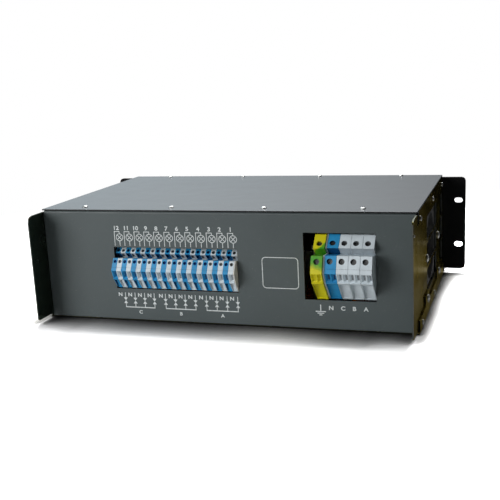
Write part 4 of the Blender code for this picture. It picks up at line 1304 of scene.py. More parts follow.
@dataclass
class TerminalBlock:
    """A rail terminal block of one side outline, with screw wells, a wire entry and a scooped foot.

    The outline goes down the front, and a face is named by its upper corner: 0 the upper screw face,
    1 and 2 the recess, 3 the lower screw face, 4 the wire entry and 5 the foot. Places on a face are
    shares of its height, and the recess, the foot's groove and the insides get darker finish numbers, painted
    shade.
    """

    outline: Line
    width: float
    middle: float
    screw: float
    wall: float
    ribbed: bool = False
    upper_down: float = 0.62
    lower_down: float = 0.26
    back: float = 0.0240
    forward: float = 0.0
    lip: float = 0.0008
    sunk: float = 1.9
    entry_split: float = 0.52
    entry_slope: float = 0.0022
    slope_span: Pair = (-0.36, 0.46)
    throat_span: Pair = (-0.34, 0.42)
    throat_deep: float = 0.0040
    scoop_deep: float = 0.62
    scoop_fade: float = 0.25
    scoop_tall: float = 0.86
    scoop_curve: float = 1.7
    bridged: bool = False
    bridge_tall: float = 0.62
    bridge_deep: float = 0.0034
    score_tall: float = 0.00025
    beside: float = 0.0
    near_line: float = 0.00015
    near_side: float = 0.00005
    slack: float = 0.0002
    groove_share: float = 0.42
    groove_line: float = 0.00008
    well_above: float = 0.004
    bridge_down: float = 0.52
    score_down: float = 0.74

    def corner(self, index: int) -> Vector:
        """A corner of the front outline, as Y and Z of the frame."""
        y, z = self.outline[index]
        return Vector((PANEL_FACE + y - self.forward, self.middle + z))

    def long(self, face: int) -> float:
        """Length of a face down the front."""
        return (self.corner(face + 1) - self.corner(face)).length

    def set_on(self, shell: Shell, face: int, share: float, sunk: float = 0.0) -> Shell:
        """Puts a shape that faces -Y about the origin on a face of the block, turned to the face.

        Args:
            shell: The shape.
            face: Number of the face's upper corner.
            share: How far down it, from 0 to 1.
            sunk: How far into it.

        Returns:
            The shape in its place.
        """
        start = self.corner(face)
        ahead = self.corner(face + 1) - start
        place = start + ahead * share
        turn = Matrix.Rotation(math.atan2(ahead[0], -ahead[1]), 4, "X")
        inward = turn @ Vector((0.0, sunk, 0.0))
        return shell.turned(turn).moved((self.width / 2, place[0] + inward.y, place[1] + inward.z))

    def on_screws(self, shell: Shell, sunk: float = 0.0) -> list[Shell]:
        """Puts a shape that faces -Y about the origin at both screws, some way into their faces."""
        aside = shell.moved((self.beside, 0.0, 0.0))
        return [self.set_on(aside, 0, self.upper_down, sunk), self.set_on(aside, 3, self.lower_down, sunk)]

    def side_points(self) -> Points:
        """The whole side outline, with a lip under the wire entry whose corners are shares of its size.

        Returns:
            The outline in Y and Z.
        """
        corners = [self.corner(index) for index in range(len(self.outline))]
        down = (corners[5] - corners[4]).normalized()
        start = corners[5] - down * self.lip * 1.3
        nose = start + Vector((-self.lip, -0.1 * self.lip))
        under = nose + Vector((0.15 * self.lip, -0.7 * self.lip))
        end = corners[5] + (corners[6] - corners[5]).normalized() * 0.4 * self.lip
        front = [tuple(point) for point in (*corners[:5], start, nose, under, end, corners[6])]
        back = PANEL_FACE + self.back
        return np.array([*front, (back, front[-1][1]), (back, front[0][1])])

    def body(self) -> Shell:
        """The housing: the outline carried across from x = 0, less wells, entry, scoop and score.

        Returns:
            The mesh with its three finishes.
        """
        base = prism(self.side_points(), 0.0, self.width, Axis.X)
        well = prism(circle((0.0, 0.0), self.screw, 24), -self.well_above, self.sunk * self.screw, Axis.Y)
        tools = self.on_screws(well)
        tools += [self.set_on(shape, 4, 0.5) for shape in self.entries()]
        tools.append(self.set_on(self.scoop(), 5, 0.5))
        tools.append(self.set_on(self.score(), 3, self.score_down))
        if self.bridged:
            tools.append(self.set_on(self.bridge(), 1, self.bridge_down))
        return self.shaded(cut(base, tools))

    def shaded(self, shell: Shell) -> Shell:
        """Painted shade: finish 1, a darker copy, on the upper recess and the foot's groove, and finish 2
        inside the wells and the entry.

        A face lies inside where its middle is more than a limit from each line of the side outline.

        Args:
            shell: The cut housing.

        Returns:
            The same mesh with three finishes.
        """
        middles = np.array([shell.points[list(face)].mean(axis=0) for face in shell.faces])
        x, y, z = middles.T
        line = self.side_points()
        ahead = np.roll(line, -1, axis=0) - line
        off = middles[:, None, 1:] - line[None]
        share = np.clip((off * ahead).sum(axis=2) / (ahead**2).sum(axis=1), 0.0, 1.0)
        gaps = np.linalg.norm(off - share[..., None] * ahead, axis=2).min(axis=1)
        within = np.minimum(x, self.width - x) > self.near_side
        inside = (gaps > self.near_line) & (z > self.corner(4)[1] + self.slack)
        inside |= gaps > self.entry_slope
        recess = (z < self.corner(1)[1]) & (z > self.corner(3)[1] - self.slack)
        recess &= y > self.corner(1)[0] - self.slack / 2
        if self.bridged:
            groove = (z < self.corner(5)[1]) & (x < self.groove_share * self.width)
            recess |= groove & (gaps > self.groove_line)
        # Painted shade: 2 inside, 1 on the recess and the groove.
        looks = np.where(within & inside, 2, np.where(within & recess, 1, 0))
        return Shell(shell.points, shell.faces, looks.tolist())

    def entries(self) -> list[Shell]:
        """Wire entry, or two where ribbed: a shallow slope from the left wall, then a deep throat.

        Returns:
            The solids to take out, about the entry's middle.
        """
        tall = self.long(4) - 2.4 * self.lip
        half = self.width / 2 - self.wall
        rib = 0.9 * self.wall
        spans = [(-half, -rib), (rib, half)] if self.ribbed else [(-half, half)]
        shapes = []
        for low, high in spans:
            split = low + self.entry_split * (high - low)
            mouth = ((low, high), (-0.5, 0.5), OUT)
            slope = ((split - 0.0003, high), self.slope_span, self.entry_slope)
            shapes.append(self.pit(mouth, slope, tall))
            side = (split, high - 0.0002)
            throat = (side, self.throat_span, self.entry_slope - 0.0008)
            shapes.append(self.pit(throat, (side, self.throat_span, tall / 2 + self.throat_deep), tall))
        return shapes

    def pit(self, mouth: Ring, floor: Ring, tall: float) -> Shell:
        """A tapered pit to take out, about the entry's middle.

        Args:
            mouth: Limits in x, limits as shares of the height, and depth of the outer end.
            floor: The same of the inner end.
            tall: The entry's height.

        Returns:
            The solid, its depth along +Y.
        """
        points = np.zeros((2, 4, 3))
        for row, ((low, high), (bottom, top), depth) in enumerate((mouth, floor)):
            points[row, :, 0] = (low, high, high, low)
            points[row, :, 1] = depth
            points[row, :, 2] = tall * np.array([bottom, bottom, top, top]) + 0.5 * self.lip
        return lofted(points)

    def scoop(self) -> Shell:
        """Groove down the foot that guides a wire: a steep left wall and a floor that curves up.

        Depth at share s of the width is deep (1 - s^curve), and it fades to a part of that at the lower end.

        Returns:
            The solid to take out, about the foot's middle.
        """
        half = self.width / 2 - self.wall
        share = np.linspace(0.0, 1.0, 9)
        depth = self.scoop_deep * half * (1.0 - share**self.scoop_curve)
        across = half * (2.0 * share - 1.0)
        line = np.concatenate([np.stack([across, depth], axis=1), [(half, -0.0006), (-half, -0.0006)]])
        points = np.zeros((2, len(line), 3))
        points[:, :, 0] = line[:, 0]
        points[0, :, 1] = line[:, 1]
        points[1, :, 1] = np.where(line[:, 1] > 0.0, self.scoop_fade * line[:, 1], line[:, 1])
        points[:, :, 2] = np.array([[0.5], [-0.5]]) * self.scoop_tall * self.long(5)
        return lofted(points)

    def bridge(self) -> Shell:
        """Socket in the upper recess for a cross connection: a tapered pit at the left of the face.

        Returns:
            The solid to take out, about the face's middle.
        """
        tall = self.long(1) * self.bridge_tall
        half = self.width / 2 - self.wall
        mouth = [(-half, -tall / 2), (0.55 * half, -tall / 2), (0.1 * half, tall / 2), (-half, tall / 2)]
        points = np.zeros((2, 4, 3))
        points[:, :, ::2] = mouth
        points[0, :, 1] = OUT
        points[1] = points[1] * (0.86, 1.0, 0.8) + (0.0, self.bridge_deep, 0.0)
        return lofted(points)

    def score(self) -> Shell:
        """Fine line across the screw face, where a marker clips in."""
        half = self.score_tall / 2
        return block((-self.width, -0.0004, -half), (self.width, 0.00025, half))

    def screws(self, turn: float) -> Shell:
        """The two clamping screws at the bottom of their wells, their slots turned by some degrees."""
        head = SlotHead(self.screw - 0.00015).shell(turn)
        return joined(self.on_screws(head, (self.sunk - 1.0) * self.screw))


@dataclass
class OutputTerminals:
    """Twenty four small blocks in pairs, a blue neutral and a grey live one for each channel."""

    channels: int = 12
    pitch: float = 0.0060
    gap: float = 0.00022
    middle: float = 0.0614
    screw: float = 0.0019
    wall: float = 0.00035
    outline: Line = (
        (0.0085, 0.0231), (0.0025, 0.0169), (0.0095, 0.0100), (-0.0045, 0.0123), (-0.0120, -0.0002),
        (-0.0075, -0.0113), (0.0020, -0.0232),
    )

    def build(self) -> None:
        """One piece for each channel's pair, with its screws, and the end plate."""
        width = self.pitch - self.gap
        unit = TerminalBlock(self.outline, width, self.middle, self.screw, self.wall, bridged=True)
        unit.scoop_deep, unit.scoop_fade = 1.0, 0.1
        housing = unit.body()
        looks = [*BLUE_LOOKS, *GREY_LOOKS, CLAMP_PAINTED_BLUE_REFLECTION, CLAMP_STEEL]
        for channel in range(1, self.channels + 1):
            node = f"channel_terminals_{channel:02d}"
            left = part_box(node)[0].x
            shells = []
            for index in range(2):
                at = (left + index * self.pitch, 0.0, 0.0)
                numbers = [number + len(BLUE_LOOKS) * index for number in housing.looks]
                shells.append(Shell(housing.points, housing.faces, numbers).moved(at))
                screws = unit.screws(37.0 * (2 * channel + index))
                shells.append(screws.look(6 + index).moved(at))
            name = f"channel_blocks_{channel:02d}"
            add_piece(name, joined(shells), looks, bevel=0.00018, nodes=(node,))
        dress_node("channel_end_plate", BLOCK_BEIGE, 0.00015)


@dataclass
class MainsTerminals:
    """Five large blocks: earth, neutral and three phases, with a separator plate."""

    earth_reach: float = 0.0030
    screw_shift: float = 0.0008
    middle: float = 0.0691
    screw: float = 0.0031
    wall: float = 0.00045
    lip: float = 0.0012
    downs: Pair = (0.64, 0.32)
    outline: Line = (
        (0.0040, 0.0344), (-0.0085, 0.0224), (0.0010, 0.0140), (-0.0180, 0.0166), (-0.0245, -0.0006),
        (-0.0175, -0.0126), (0.0050, -0.0355),
    )

    def build(self) -> None:
        """One piece for each pole, with its screws."""
        looks = {"earth": [EARTH_LOOK] * 3, "neutral": BLUE_LOOKS}
        for index, pole in enumerate(("earth", "neutral", "phase_c", "phase_b", "phase_a")):
            node = f"mains_terminal_{pole}"
            low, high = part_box(node)
            unit = TerminalBlock(self.outline, high.x - low.x, self.middle, self.screw, self.wall, True)
            unit.upper_down, unit.lower_down = self.downs
            unit.lip = self.lip
            if pole == "earth":
                unit.forward = self.earth_reach
            else:
                unit.beside = -self.screw_shift
            shells = [unit.body(), unit.screws(25.0 + 31.0 * index).look(3)]
            shell = joined(shells).moved((low.x, 0.0, 0.0))
            finishes = [*looks.get(pole, GREY_LOOKS), CLAMP_STEEL]
            add_piece(f"mains_block_{pole}", shell, finishes, bevel=0.0003, nodes=(node,))
        dress_node("mains_separator_plate", GREY_LOOKS[0], 0.0002)


@dataclass
class PowerModule:
    """A thyristor module: metal base, stepped housing, three screw terminals, gate tabs, two fixings."""

    base: Triple = (0.0920, 0.0340, 0.0030)
    shoulder: Triple = (0.0880, 0.0330, 0.0085)
    top: Pair = (0.0600, 0.0260)
    terminal: Triple = (0.0120, 0.0130, 0.0020)
    terminal_xs: Triple = (-0.0200, 0.0, 0.0200)
    terminal_drop: float = 0.0045
    fixing_x: float = 0.0400
    gate: Triple = (0.0008, 0.0028, 0.0085)
    gate_place: Pair = (0.0339, 0.0070)

    def build(self, phase: str) -> None:
        """Makes one phase's module in place of its node.

        Args:
            phase: The phase's letter.
        """
        node = f"thyristor_module_{phase}"
        low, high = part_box(node)
        step = self.base[2] + self.shoulder[2]
        seat = high.z - low.z - self.terminal_drop
        shells = [
            slab((0.0, 0.0, 0.0), self.base).look(1), slab((0.0, 0.0, self.base[2]), self.shoulder),
            slab((0.0, 0.0, step), (*self.top, seat - step)),
        ]
        clamp, fixing = PanHead(0.0038, 0.0025, 0.0014), PanHead(0.0040, 0.0028, 0.0015)
        for x in self.terminal_xs:
            shells.append(slab((x, 0.0, seat), self.terminal).look(1))
            shells.append(clamp.shell((x, 0.0, seat + self.terminal[2]), Axis.Z, 1.0, 900.0 * x).look(1))
        for x in (-self.fixing_x, self.fixing_x):
            shells.append(fixing.shell((x, 0.0, step), Axis.Z, 1.0, 700.0 * x).look(1))
        for y in (-self.gate_place[1], self.gate_place[1]):
            shells.append(slab((self.gate_place[0], y, step), self.gate).look(2))
        x, y, _ = middle_of(node)
        shell, looks = joined(shells).moved((x, y, low.z)), [MODULE_BLACK, NICKEL, GOLD_PIN]
        add_piece(f"power_module_{phase}", shell, looks, bevel=0.0004, nodes=(node,))


@dataclass
class RingChokes:
    """Twelve wound rings on edge in a mounting plate."""

    count: int = 12
    pitch: float = 0.0260
    middle: float = 0.0135
    half: Pair = (0.0067, 0.0037)
    wire: float = 0.0008
    turns: int = 26
    bare: float = 18.0
    valley: float = 0.35
    plate: float = 0.0020
    sunk: float = 0.0012
    sides: int = 16

    def ring(self) -> Shell:
        """A wound ring about X: a rounded section, thicker by the wire but for a bare stretch at its foot.

        The wire adds its thickness times valley + (1 - valley) |cos(turns / 2 x angle)|.

        Returns:
            The ring about the origin, the bare core as finish 0 and the winding as finish 1.
        """
        steps = 6 * self.turns
        angle = np.linspace(0.0, 2 * np.pi, steps, endpoint=False)[:, None]
        section = np.linspace(0.0, 2 * np.pi, self.sides, endpoint=False)[None, :]
        waves = np.array([np.cos(section), np.sin(section)])
        across, outward = np.sign(waves) * np.abs(waves) ** 0.5
        from_foot = np.degrees(np.abs((angle - 0.5 * np.pi) % (2 * np.pi) - np.pi))
        wound = (from_foot > self.bare).astype(float)
        swell = self.valley + (1.0 - self.valley) * np.abs(np.cos(angle * self.turns / 2))
        wire = self.wire * wound * swell
        radius = self.middle + (self.half[1] + wire) * outward
        turned = (radius * np.cos(angle), radius * np.sin(angle))
        points = np.stack([(self.half[0] + wire) * across, *turned], axis=-1)
        looks = np.repeat(wound[:, 0].astype(int), self.sides)
        return Shell(points, grid_faces(steps, self.sides, closed=True), looks.tolist())

    def build(self) -> None:
        """Makes the plate with its rings in place of their node."""
        low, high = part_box("choke_bank")
        rise = low.z + self.plate + self.middle + self.half[1] + self.wire - self.sunk
        ring = self.ring()
        shells = [block(tuple(low), (high.x, high.y, low.z + self.plate)).look(2)]
        for index in range(self.count):
            x = (index + 0.5 - self.count / 2) * self.pitch
            shells.append(ring.moved((x, (low.y + high.y) / 2, rise)))
        looks = [CORE_GREEN, COPPER, RAIL_STEEL]
        add_piece("ring_chokes", joined(shells), looks, nodes=("choke_bank",), sharp=60.0)


@dataclass
class Transformer:
    """A laminated core with a bobbin, a taped winding on each side and solder tags."""

    core_half: float = 0.0090
    core_corner: float = 0.0010
    winding: Triple = (0.0210, 0.0070, 0.0230)
    winding_corner: float = 0.0025
    winding_y: float = 0.0118
    flange: Triple = (0.0240, 0.0136, 0.0016)
    flange_place: Pair = (0.0092, 0.0122)
    tag: Triple = (0.0016, 0.0006, 0.0045)
    tag_xs: tuple[float, ...] = (-0.0080, -0.0030, 0.0030, 0.0080)
    tag_place: Pair = (-0.0155, 0.0130)

    def build(self) -> None:
        """Makes the transformer in place of its node."""
        low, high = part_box("control_transformer")
        core = ((high.x - low.x) / 2, (high.z - low.z) / 2)
        outline = rounded((-core[0], -core[1]), core, self.core_corner, 2)
        shells = [prism(outline, -self.core_half, self.core_half, Axis.Y)]
        x, y, z = (size / 2 for size in self.winding)
        for middle in (-self.winding_y, self.winding_y):
            outline = rounded((-x, middle - y), (x, middle + y), self.winding_corner, 4)
            shells.append(prism(outline, -z, z, Axis.Z).look(1))
        for side in (-self.flange_place[0], self.flange_place[0]):
            for rise in (-self.flange_place[1], self.flange_place[1]):
                place = (0.0, side, rise - self.flange[2] / 2)
                shells.append(slab(place, self.flange).look(2))
        shells += [slab((x, *self.tag_place), self.tag).look(3) for x in self.tag_xs]
        shell = joined(shells).moved(middle_of("control_transformer"))
        looks = [LAMINATIONS, WINDING_TAPE, BREAKER_WHITE, NICKEL]
        nodes = ("control_transformer",)
        add_piece("wound_transformer", shell, looks, bevel=0.0003, nodes=nodes)


@dataclass
class BoardParts:
    """Processor, drivers, capacitors and plugs on the inner side of the control board."""

    chips: tuple[tuple[float, ...], ...] = (
        (0.0900, 0.0870, 0.0300, 0.0140), (0.1300, 0.0700, 0.0200, 0.0080),
        (0.1560, 0.0700, 0.0200, 0.0080),
    )
    chip_thick: float = 0.0030
    chip_lift: float = 0.0006
    cans: Line = ((0.0360, 0.0780), (0.0360, 0.0980), (0.0540, 0.0780))
    can: Pair = (0.0050, 0.0124)
    can_edge: float = 0.0006
    plug: Triple = (0.0240, 0.0089, 0.0060)
    plug_xs: tuple[float, ...] = (0.0620, 0.0980, 0.1340, 0.1700)
    plug_rise: float = 0.1035
    lift: float = 0.0001

    def build(self) -> None:
        """Makes the parts just off the board."""
        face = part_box("control_board")[0].y
        middle = face - self.chip_lift - self.chip_thick / 2
        shells = []
        for x, z, wide, tall in self.chips:
            shells.append(slab((x, middle, z - tall / 2), (wide, self.chip_thick, tall)))
        radius, tall = self.can
        edge = [(self.can_edge - tall, radius), (-tall, radius - self.can_edge)]
        profile = np.array([(0.0, 0.0), (0.0, radius), *edge, (-tall, 0.0)])
        for x, z in self.cans:
            shells.append(turned_shape(profile, (x, face - self.lift, z), Axis.Y, 20).look(1))
        middle = face - self.lift - self.plug[1] / 2
        shells += [slab((x, middle, self.plug_rise), self.plug).look(2) for x in self.plug_xs]
        looks = [MODULE_BLACK, NICKEL, LEVER_BLACK]
        add_piece("board_parts", joined(shells), looks, bevel=0.0003)


@dataclass
class Inside:
    """Rails, heatsink and control board, with the power and control parts on them."""

    edge: float = 0.0002

    def build(self) -> None:
        """Dresses the plain nodes and adds the detailed parts."""
        dress_node("channel_rail", RAIL_STEEL, self.edge)
        dress_node("mains_rail", RAIL_STEEL, self.edge)
        dress_node("heatsink", ALUMINIUM, self.edge)
        dress_node("control_board", BOARD_GREEN, self.edge / 2)
        for phase in "abc":
            PowerModule().build(phase)
        RingChokes().build()
        Transformer().build()
        BoardParts().build()


def plate_word(letters: str, size: float, place: Triple) -> Shell:
    """Letters stood up to be read from +Y, with their middle at a place.

    Args:
        letters: The letters.
        size: Height of a capital letter.
        place: Middle of the letters' back face.

    Returns:
        The letters as thin solids.
    """
    turn = Matrix.Rotation(math.pi, 4, "Z") @ Matrix.Rotation(math.pi / 2, 4, "X")
    x, y, z = place
    return lettering(letters, size, (0.0, 0.0), 1.1).turned(turn).moved((x, y + INK_LIFT + INK_THICK / 2, z))


def plate_ink(outline: Points, place: Triple) -> Shell:
    """A flat outline, given as seen from +Y about a place, as ink on a face there."""
    flat = np.asarray(outline, float) * (-1.0, 1.0) + (place[0], place[2])
    return prism(flat, place[1] + INK_LIFT, place[1] + INK_LIFT + INK_THICK, Axis.Y)


@dataclass
class Breakers:
    """Three banks of four breaker poles behind the plate's window, with their levers."""

    poles: int = 4
    pole: float = 0.0175
    seam: float = 0.0003
    half: float = 0.0400
    nose_half: float = 0.0225
    step_half: float = 0.0165
    step: float = 0.0010
    pocket: float = 0.0043
    pocket_half: float = 0.0085
    pin_depth: float = 0.0040
    hub: float = 0.0055
    hub_gap: float = 0.0003
    lever_half: float = 0.0040
    lever_reach: float = 0.0145
    lever_thick: float = 0.0042
    tip_share: float = 0.8
    rest: float = -38.0
    ribs: int = 4
    rib_pitch: float = 0.0014
    rib_line: Line = ((0.0003, 1.0), (0.0007, 0.8), (0.0011, 0.8))
    mark_rise: float = 0.0122
    mark_size: float = 0.0026
    number_gap: float = 0.0062
    number_size: float = 0.0042
    bracket_gap: float = 0.0108
    bracket_inset: float = 0.003
    bracket_drop: float = 0.0025
    bracket_line: float = 0.0007
    letter_gap: float = 0.0168
    letter_size: float = 0.0046

    def build(self) -> None:
        """Poles, levers, and the numbers and brackets over them."""
        housing = self.housing()
        for bank in "abc":
            node = f"breaker_bank_{bank}"
            low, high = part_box(node)
            rise = middle_of(node)[2]
            shells = []
            for index in range(self.poles):
                x = low.x + index * self.pole
                shells.append(housing.moved((x, high.y, rise)))
                middle = x + (self.pole - self.seam) / 2
                for mark, up in (("I", self.mark_rise), ("0", -self.mark_rise)):
                    shells.append(plate_word(mark, self.mark_size, (middle, high.y, rise + up)).look(1))
            looks = [BREAKER_WHITE, BLACK_INK]
            name = f"breaker_poles_{bank}"
            add_piece(name, joined(shells), looks, bevel=0.0003, nodes=(node,))
        self.levers()
        self.marks()

    def housing(self) -> Shell:
        """One pole from x = 0, its nose's face at y = 0: a stepped side outline less the lever's pocket.

        Returns:
            The housing.
        """
        low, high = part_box("breaker_bank_a")
        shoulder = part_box("front_panel")[0].y - self.hub_gap - high.y
        front = [
            (shoulder, -self.half), (shoulder, -self.nose_half), (-self.step, -self.nose_half),
            (-self.step, -self.step_half), (0.0, -self.step_half + self.step),
        ]
        back = low.y - high.y
        mirrored = [(y, -z) for y, z in reversed(front)]
        outline = [(back, -self.half), *front, *mirrored, (back, self.half)]
        width = self.pole - self.seam
        floor = -self.pin_depth - self.hub - self.hub_gap
        start = (width / 2 - self.pocket, floor, -self.pocket_half)
        pocket = block(start, (width / 2 + self.pocket, 0.002, self.pocket_half))
        return cut(prism(outline, 0.0, width, Axis.X), [pocket])

    def lever(self) -> Shell:
        """A lever about its pin: a round hub, an arm that narrows to its tip, and ribs on its upper side.

        Returns:
            The lever at rest.
        """
        thick = self.lever_thick / 2
        angle = math.degrees(math.asin(thick / self.hub))
        hub = arc((0.0, 0.0), self.hub, angle, 360.0 - angle, 20)
        round_tip = self.tip_share * thick
        tip = arc((self.lever_reach - round_tip, 0.0), round_tip, -80.0, 80.0, 6)
        first = self.lever_reach - 0.9 * thick
        ribs = [
            (first - self.rib_pitch * index - along, share * thick)
            for index in range(self.ribs)
            for along, share in self.rib_line
        ]
        arm = prism(np.concatenate([hub, tip, ribs]), -self.lever_half, self.lever_half, Axis.X)
        return arm.turned(Matrix.Rotation(math.radians(self.rest), 4, "X"))

    def levers(self) -> None:
        """One lever piece on each lever body."""
        lever = self.lever()
        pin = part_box("breaker_bank_a")[1].y - self.pin_depth
        rise = middle_of("breaker_bank_a")[2]
        for index in range(1, 3 * self.poles + 1):
            node = f"breaker_lever_{index:02d}"
            shell = lever.moved((middle_of(node)[0], pin, rise))
            add_piece(f"lever_{index:02d}", shell, [LEVER_BLACK], node, 0.0004, (node,))

    def marks(self) -> None:
        """Channel numbers over the levers, and a bracket with a letter over each bank."""
        face = PLATE_FACE
        top = middle_of("breaker_bank_a")[2] + self.nose_half
        shells = []
        for index in range(1, 3 * self.poles + 1):
            x = middle_of(f"breaker_lever_{index:02d}")[0]
            shells.append(plate_word(str(index), self.number_size, (x, face, top + self.number_gap)))
        line = self.bracket_line
        for bank in "abc":
            low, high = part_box(f"breaker_bank_{bank}")
            middle = (low.x + high.x) / 2
            place = (middle, face, top + self.bracket_gap)
            reach = (high.x - low.x) / 2 - self.bracket_inset
            shells.append(plate_ink(stroke((-reach, 0.0), (reach, 0.0), line), place))
            for x in (-reach, reach):
                shells.append(plate_ink(stroke((x, -line / 2), (x, -self.bracket_drop), line), place))
            shells.append(plate_word(bank.upper(), self.letter_size, (middle, face, top + self.letter_gap)))
        add_piece("breaker_printing", joined(shells), [WHITE_INK])


@dataclass
class ReadOut:
    """Display digits, keys with their symbols, and lamps."""

    shown: str = "001"
    digit: Pair = (0.0068, 0.0128)
    digit_pitch: float = 0.0118
    bar: float = 0.0013
    bar_gap: float = 0.0001
    slant: float = 0.12
    keys: tuple[str, ...] = ("menu", "down", "up", "enter")
    key_radius: float = 0.0040
    key_dish: Line = (
        (0.0006, 0.0), (0.0002, 0.0002), (0.0, 0.0007), (0.0003, 0.0016), (0.0006, 0.0028),
        (0.0007, 0.0040),
    )
    collar: float = 0.001
    ring_gaps: Pair = (0.0016, 0.0004)
    symbol_drop: float = 0.0092
    symbol_line: float = 0.0006
    lamps: tuple[tuple[str, float, float], ...] = (
        ("A", 0.0480, 0.1040), ("B", 0.0480, 0.0950), ("C", 0.0480, 0.0860),
    )
    lamp_letter: Pair = (0.0036, 0.0072)
    signal_lamp: Pair = (0.1200, 0.0346)
    dome: Triple = (0.0020, 0.0018, 0.0006)
    dome_ring: Line = ((0.0, 0.0020), (0.0, 0.0031), (0.0008, 0.0029), (0.0008, 0.0021), (0.0, 0.0020))

    def build(self) -> None:
        """Window, digits, keys, rings, symbols and lamps."""
        dress_node("display_window", PANE_RED, 0.0003)
        self.digits()
        self.key_caps()
        self.lamp_domes()
        self.symbols()

    def digits(self) -> None:
        """Seven bars for each digit just off the window, lit where the digit needs them."""
        x, _, z = middle_of("display_window")
        middle = (x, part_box("display_window")[1].y, z)
        x, z = self.digit[0] / 2, self.digit[1] / 2
        bars = {
            "a": ((-x, z), (x, z)), "b": ((x, z), (x, 0.0)), "c": ((x, 0.0), (x, -z)),
            "d": ((-x, -z), (x, -z)), "e": ((-x, -z), (-x, 0.0)), "f": ((-x, 0.0), (-x, z)),
            "g": ((-x, 0.0), (x, 0.0)),
        }
        lit = {"0": "abcdef", "1": "bc"}
        shells = []
        for index, figure in enumerate(self.shown):
            shift = (index - (len(self.shown) - 1) / 2) * self.digit_pitch
            for bar, (start, end) in bars.items():
                outline = self.pointed(start, end)
                outline[:, 0] += self.slant * outline[:, 1] + shift
                shells.append(plate_ink(outline, middle).look(0 if bar in lit[figure] else 1))
        add_piece("display_digits", joined(shells), [DIGIT_RED, DIGIT_DARK])

    def pointed(self, start: Pair, end: Pair) -> Points:
        """A bar with pointed ends: six corners from the two ends and half the bar's width.

        Args:
            start: Its start.
            end: Its end.

        Returns:
            The outline.
        """
        first, last = np.array(start), np.array(end)
        ahead = (last - first) / np.linalg.norm(last - first)
        side = np.array([-ahead[1], ahead[0]]) * self.bar / 2
        inset = ahead * (self.bar / 2 + self.bar_gap)
        first, last = first + ahead * self.bar_gap, last - ahead * self.bar_gap
        below = [first, first + inset - side, last - inset - side]
        return np.array([*below, last, last - inset + side, first + inset + side])

    def key_caps(self) -> None:
        """Dished keys with their collars on the key bodies, and a ring on the plate round each."""
        face = PLATE_FACE
        radius = self.key_radius
        rings = []
        for key in self.keys:
            node = f"button_{key}"
            low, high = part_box(node)
            x, _, z = middle_of(node)
            wide = (high.x - low.x) / 2
            profile = [(0.0, 0.0), (0.0, wide), (self.collar, wide), (self.collar, radius)]
            profile += [(high.y - low.y - down, radius - inward) for down, inward in self.key_dish]
            shell = turned_shape(profile, (x, low.y, z), Axis.Y, 36)
            add_piece(f"key_{key}", shell, [KEY_GREY], node, nodes=(node,))
            outer, inner = (circle((x, z), radius + gap, 36) for gap in self.ring_gaps)
            rings.append(band(outer, inner, face, face + 0.0005, Axis.Y))
        add_piece("key_rings", joined(rings), [BLACK_OXIDE], bevel=0.00012)

    def lamp_domes(self) -> None:
        """Three phase lamps and the signal lamp: a dome in a ring."""
        face = PLATE_FACE
        places = [(x, face, z) for x, z in (*(lamp[1:] for lamp in self.lamps), self.signal_lamp)]
        radius, tall, foot = self.dome
        turn = np.linspace(0.0, math.pi / 2, 7)
        curve = np.stack([foot + tall * np.sin(turn), radius * np.cos(turn)], axis=1)
        dome = np.concatenate([[(0.0, 0.0), (0.0, radius)], curve])
        shells = [turned_shape(dome, place, Axis.Y, 24) for place in places]
        shells += [turned_shape(self.dome_ring, place, Axis.Y, 24).look(1) for place in places]
        add_piece("panel_lamps", joined(shells), [LAMP_GREEN, NICKEL])

    def symbols(self) -> None:
        """Lines, arrows and letters by the keys and lamps, as seen from +Y."""
        face = PLATE_FACE
        shapes = {
            "menu": [self.line((-0.0019, z), (0.0019, z)) for z in (-0.0012, 0.0, 0.0012)],
            "down": [[(-0.0020, 0.0012), (0.0020, 0.0012), (0.0, -0.0016)]],
            "up": [[(-0.0020, -0.0012), (0.0020, -0.0012), (0.0, 0.0016)]],
            "enter": [
                self.line((0.0020, 0.0016), (0.0020, -0.0009)),
                self.line((0.0017, -0.0006), (-0.0006, -0.0006)),
                [(-0.0024, -0.0006), (-0.0006, -0.0018), (-0.0006, 0.0006)],
            ],
        }
        shells = []
        for key in self.keys:
            x, _, z = middle_of(f"button_{key}")
            place = (x, face, z - self.symbol_drop)
            shells += [plate_ink(outline, place) for outline in shapes[key]]
        size, aside = self.lamp_letter
        shells += [plate_word(letter, size, (x - aside, face, z)) for letter, x, z in self.lamps]
        add_piece("control_printing", joined(shells), [WHITE_INK])

    def line(self, start: Pair, end: Pair) -> Points:
        """A line of a symbol."""
        return stroke(start, end, self.symbol_line)


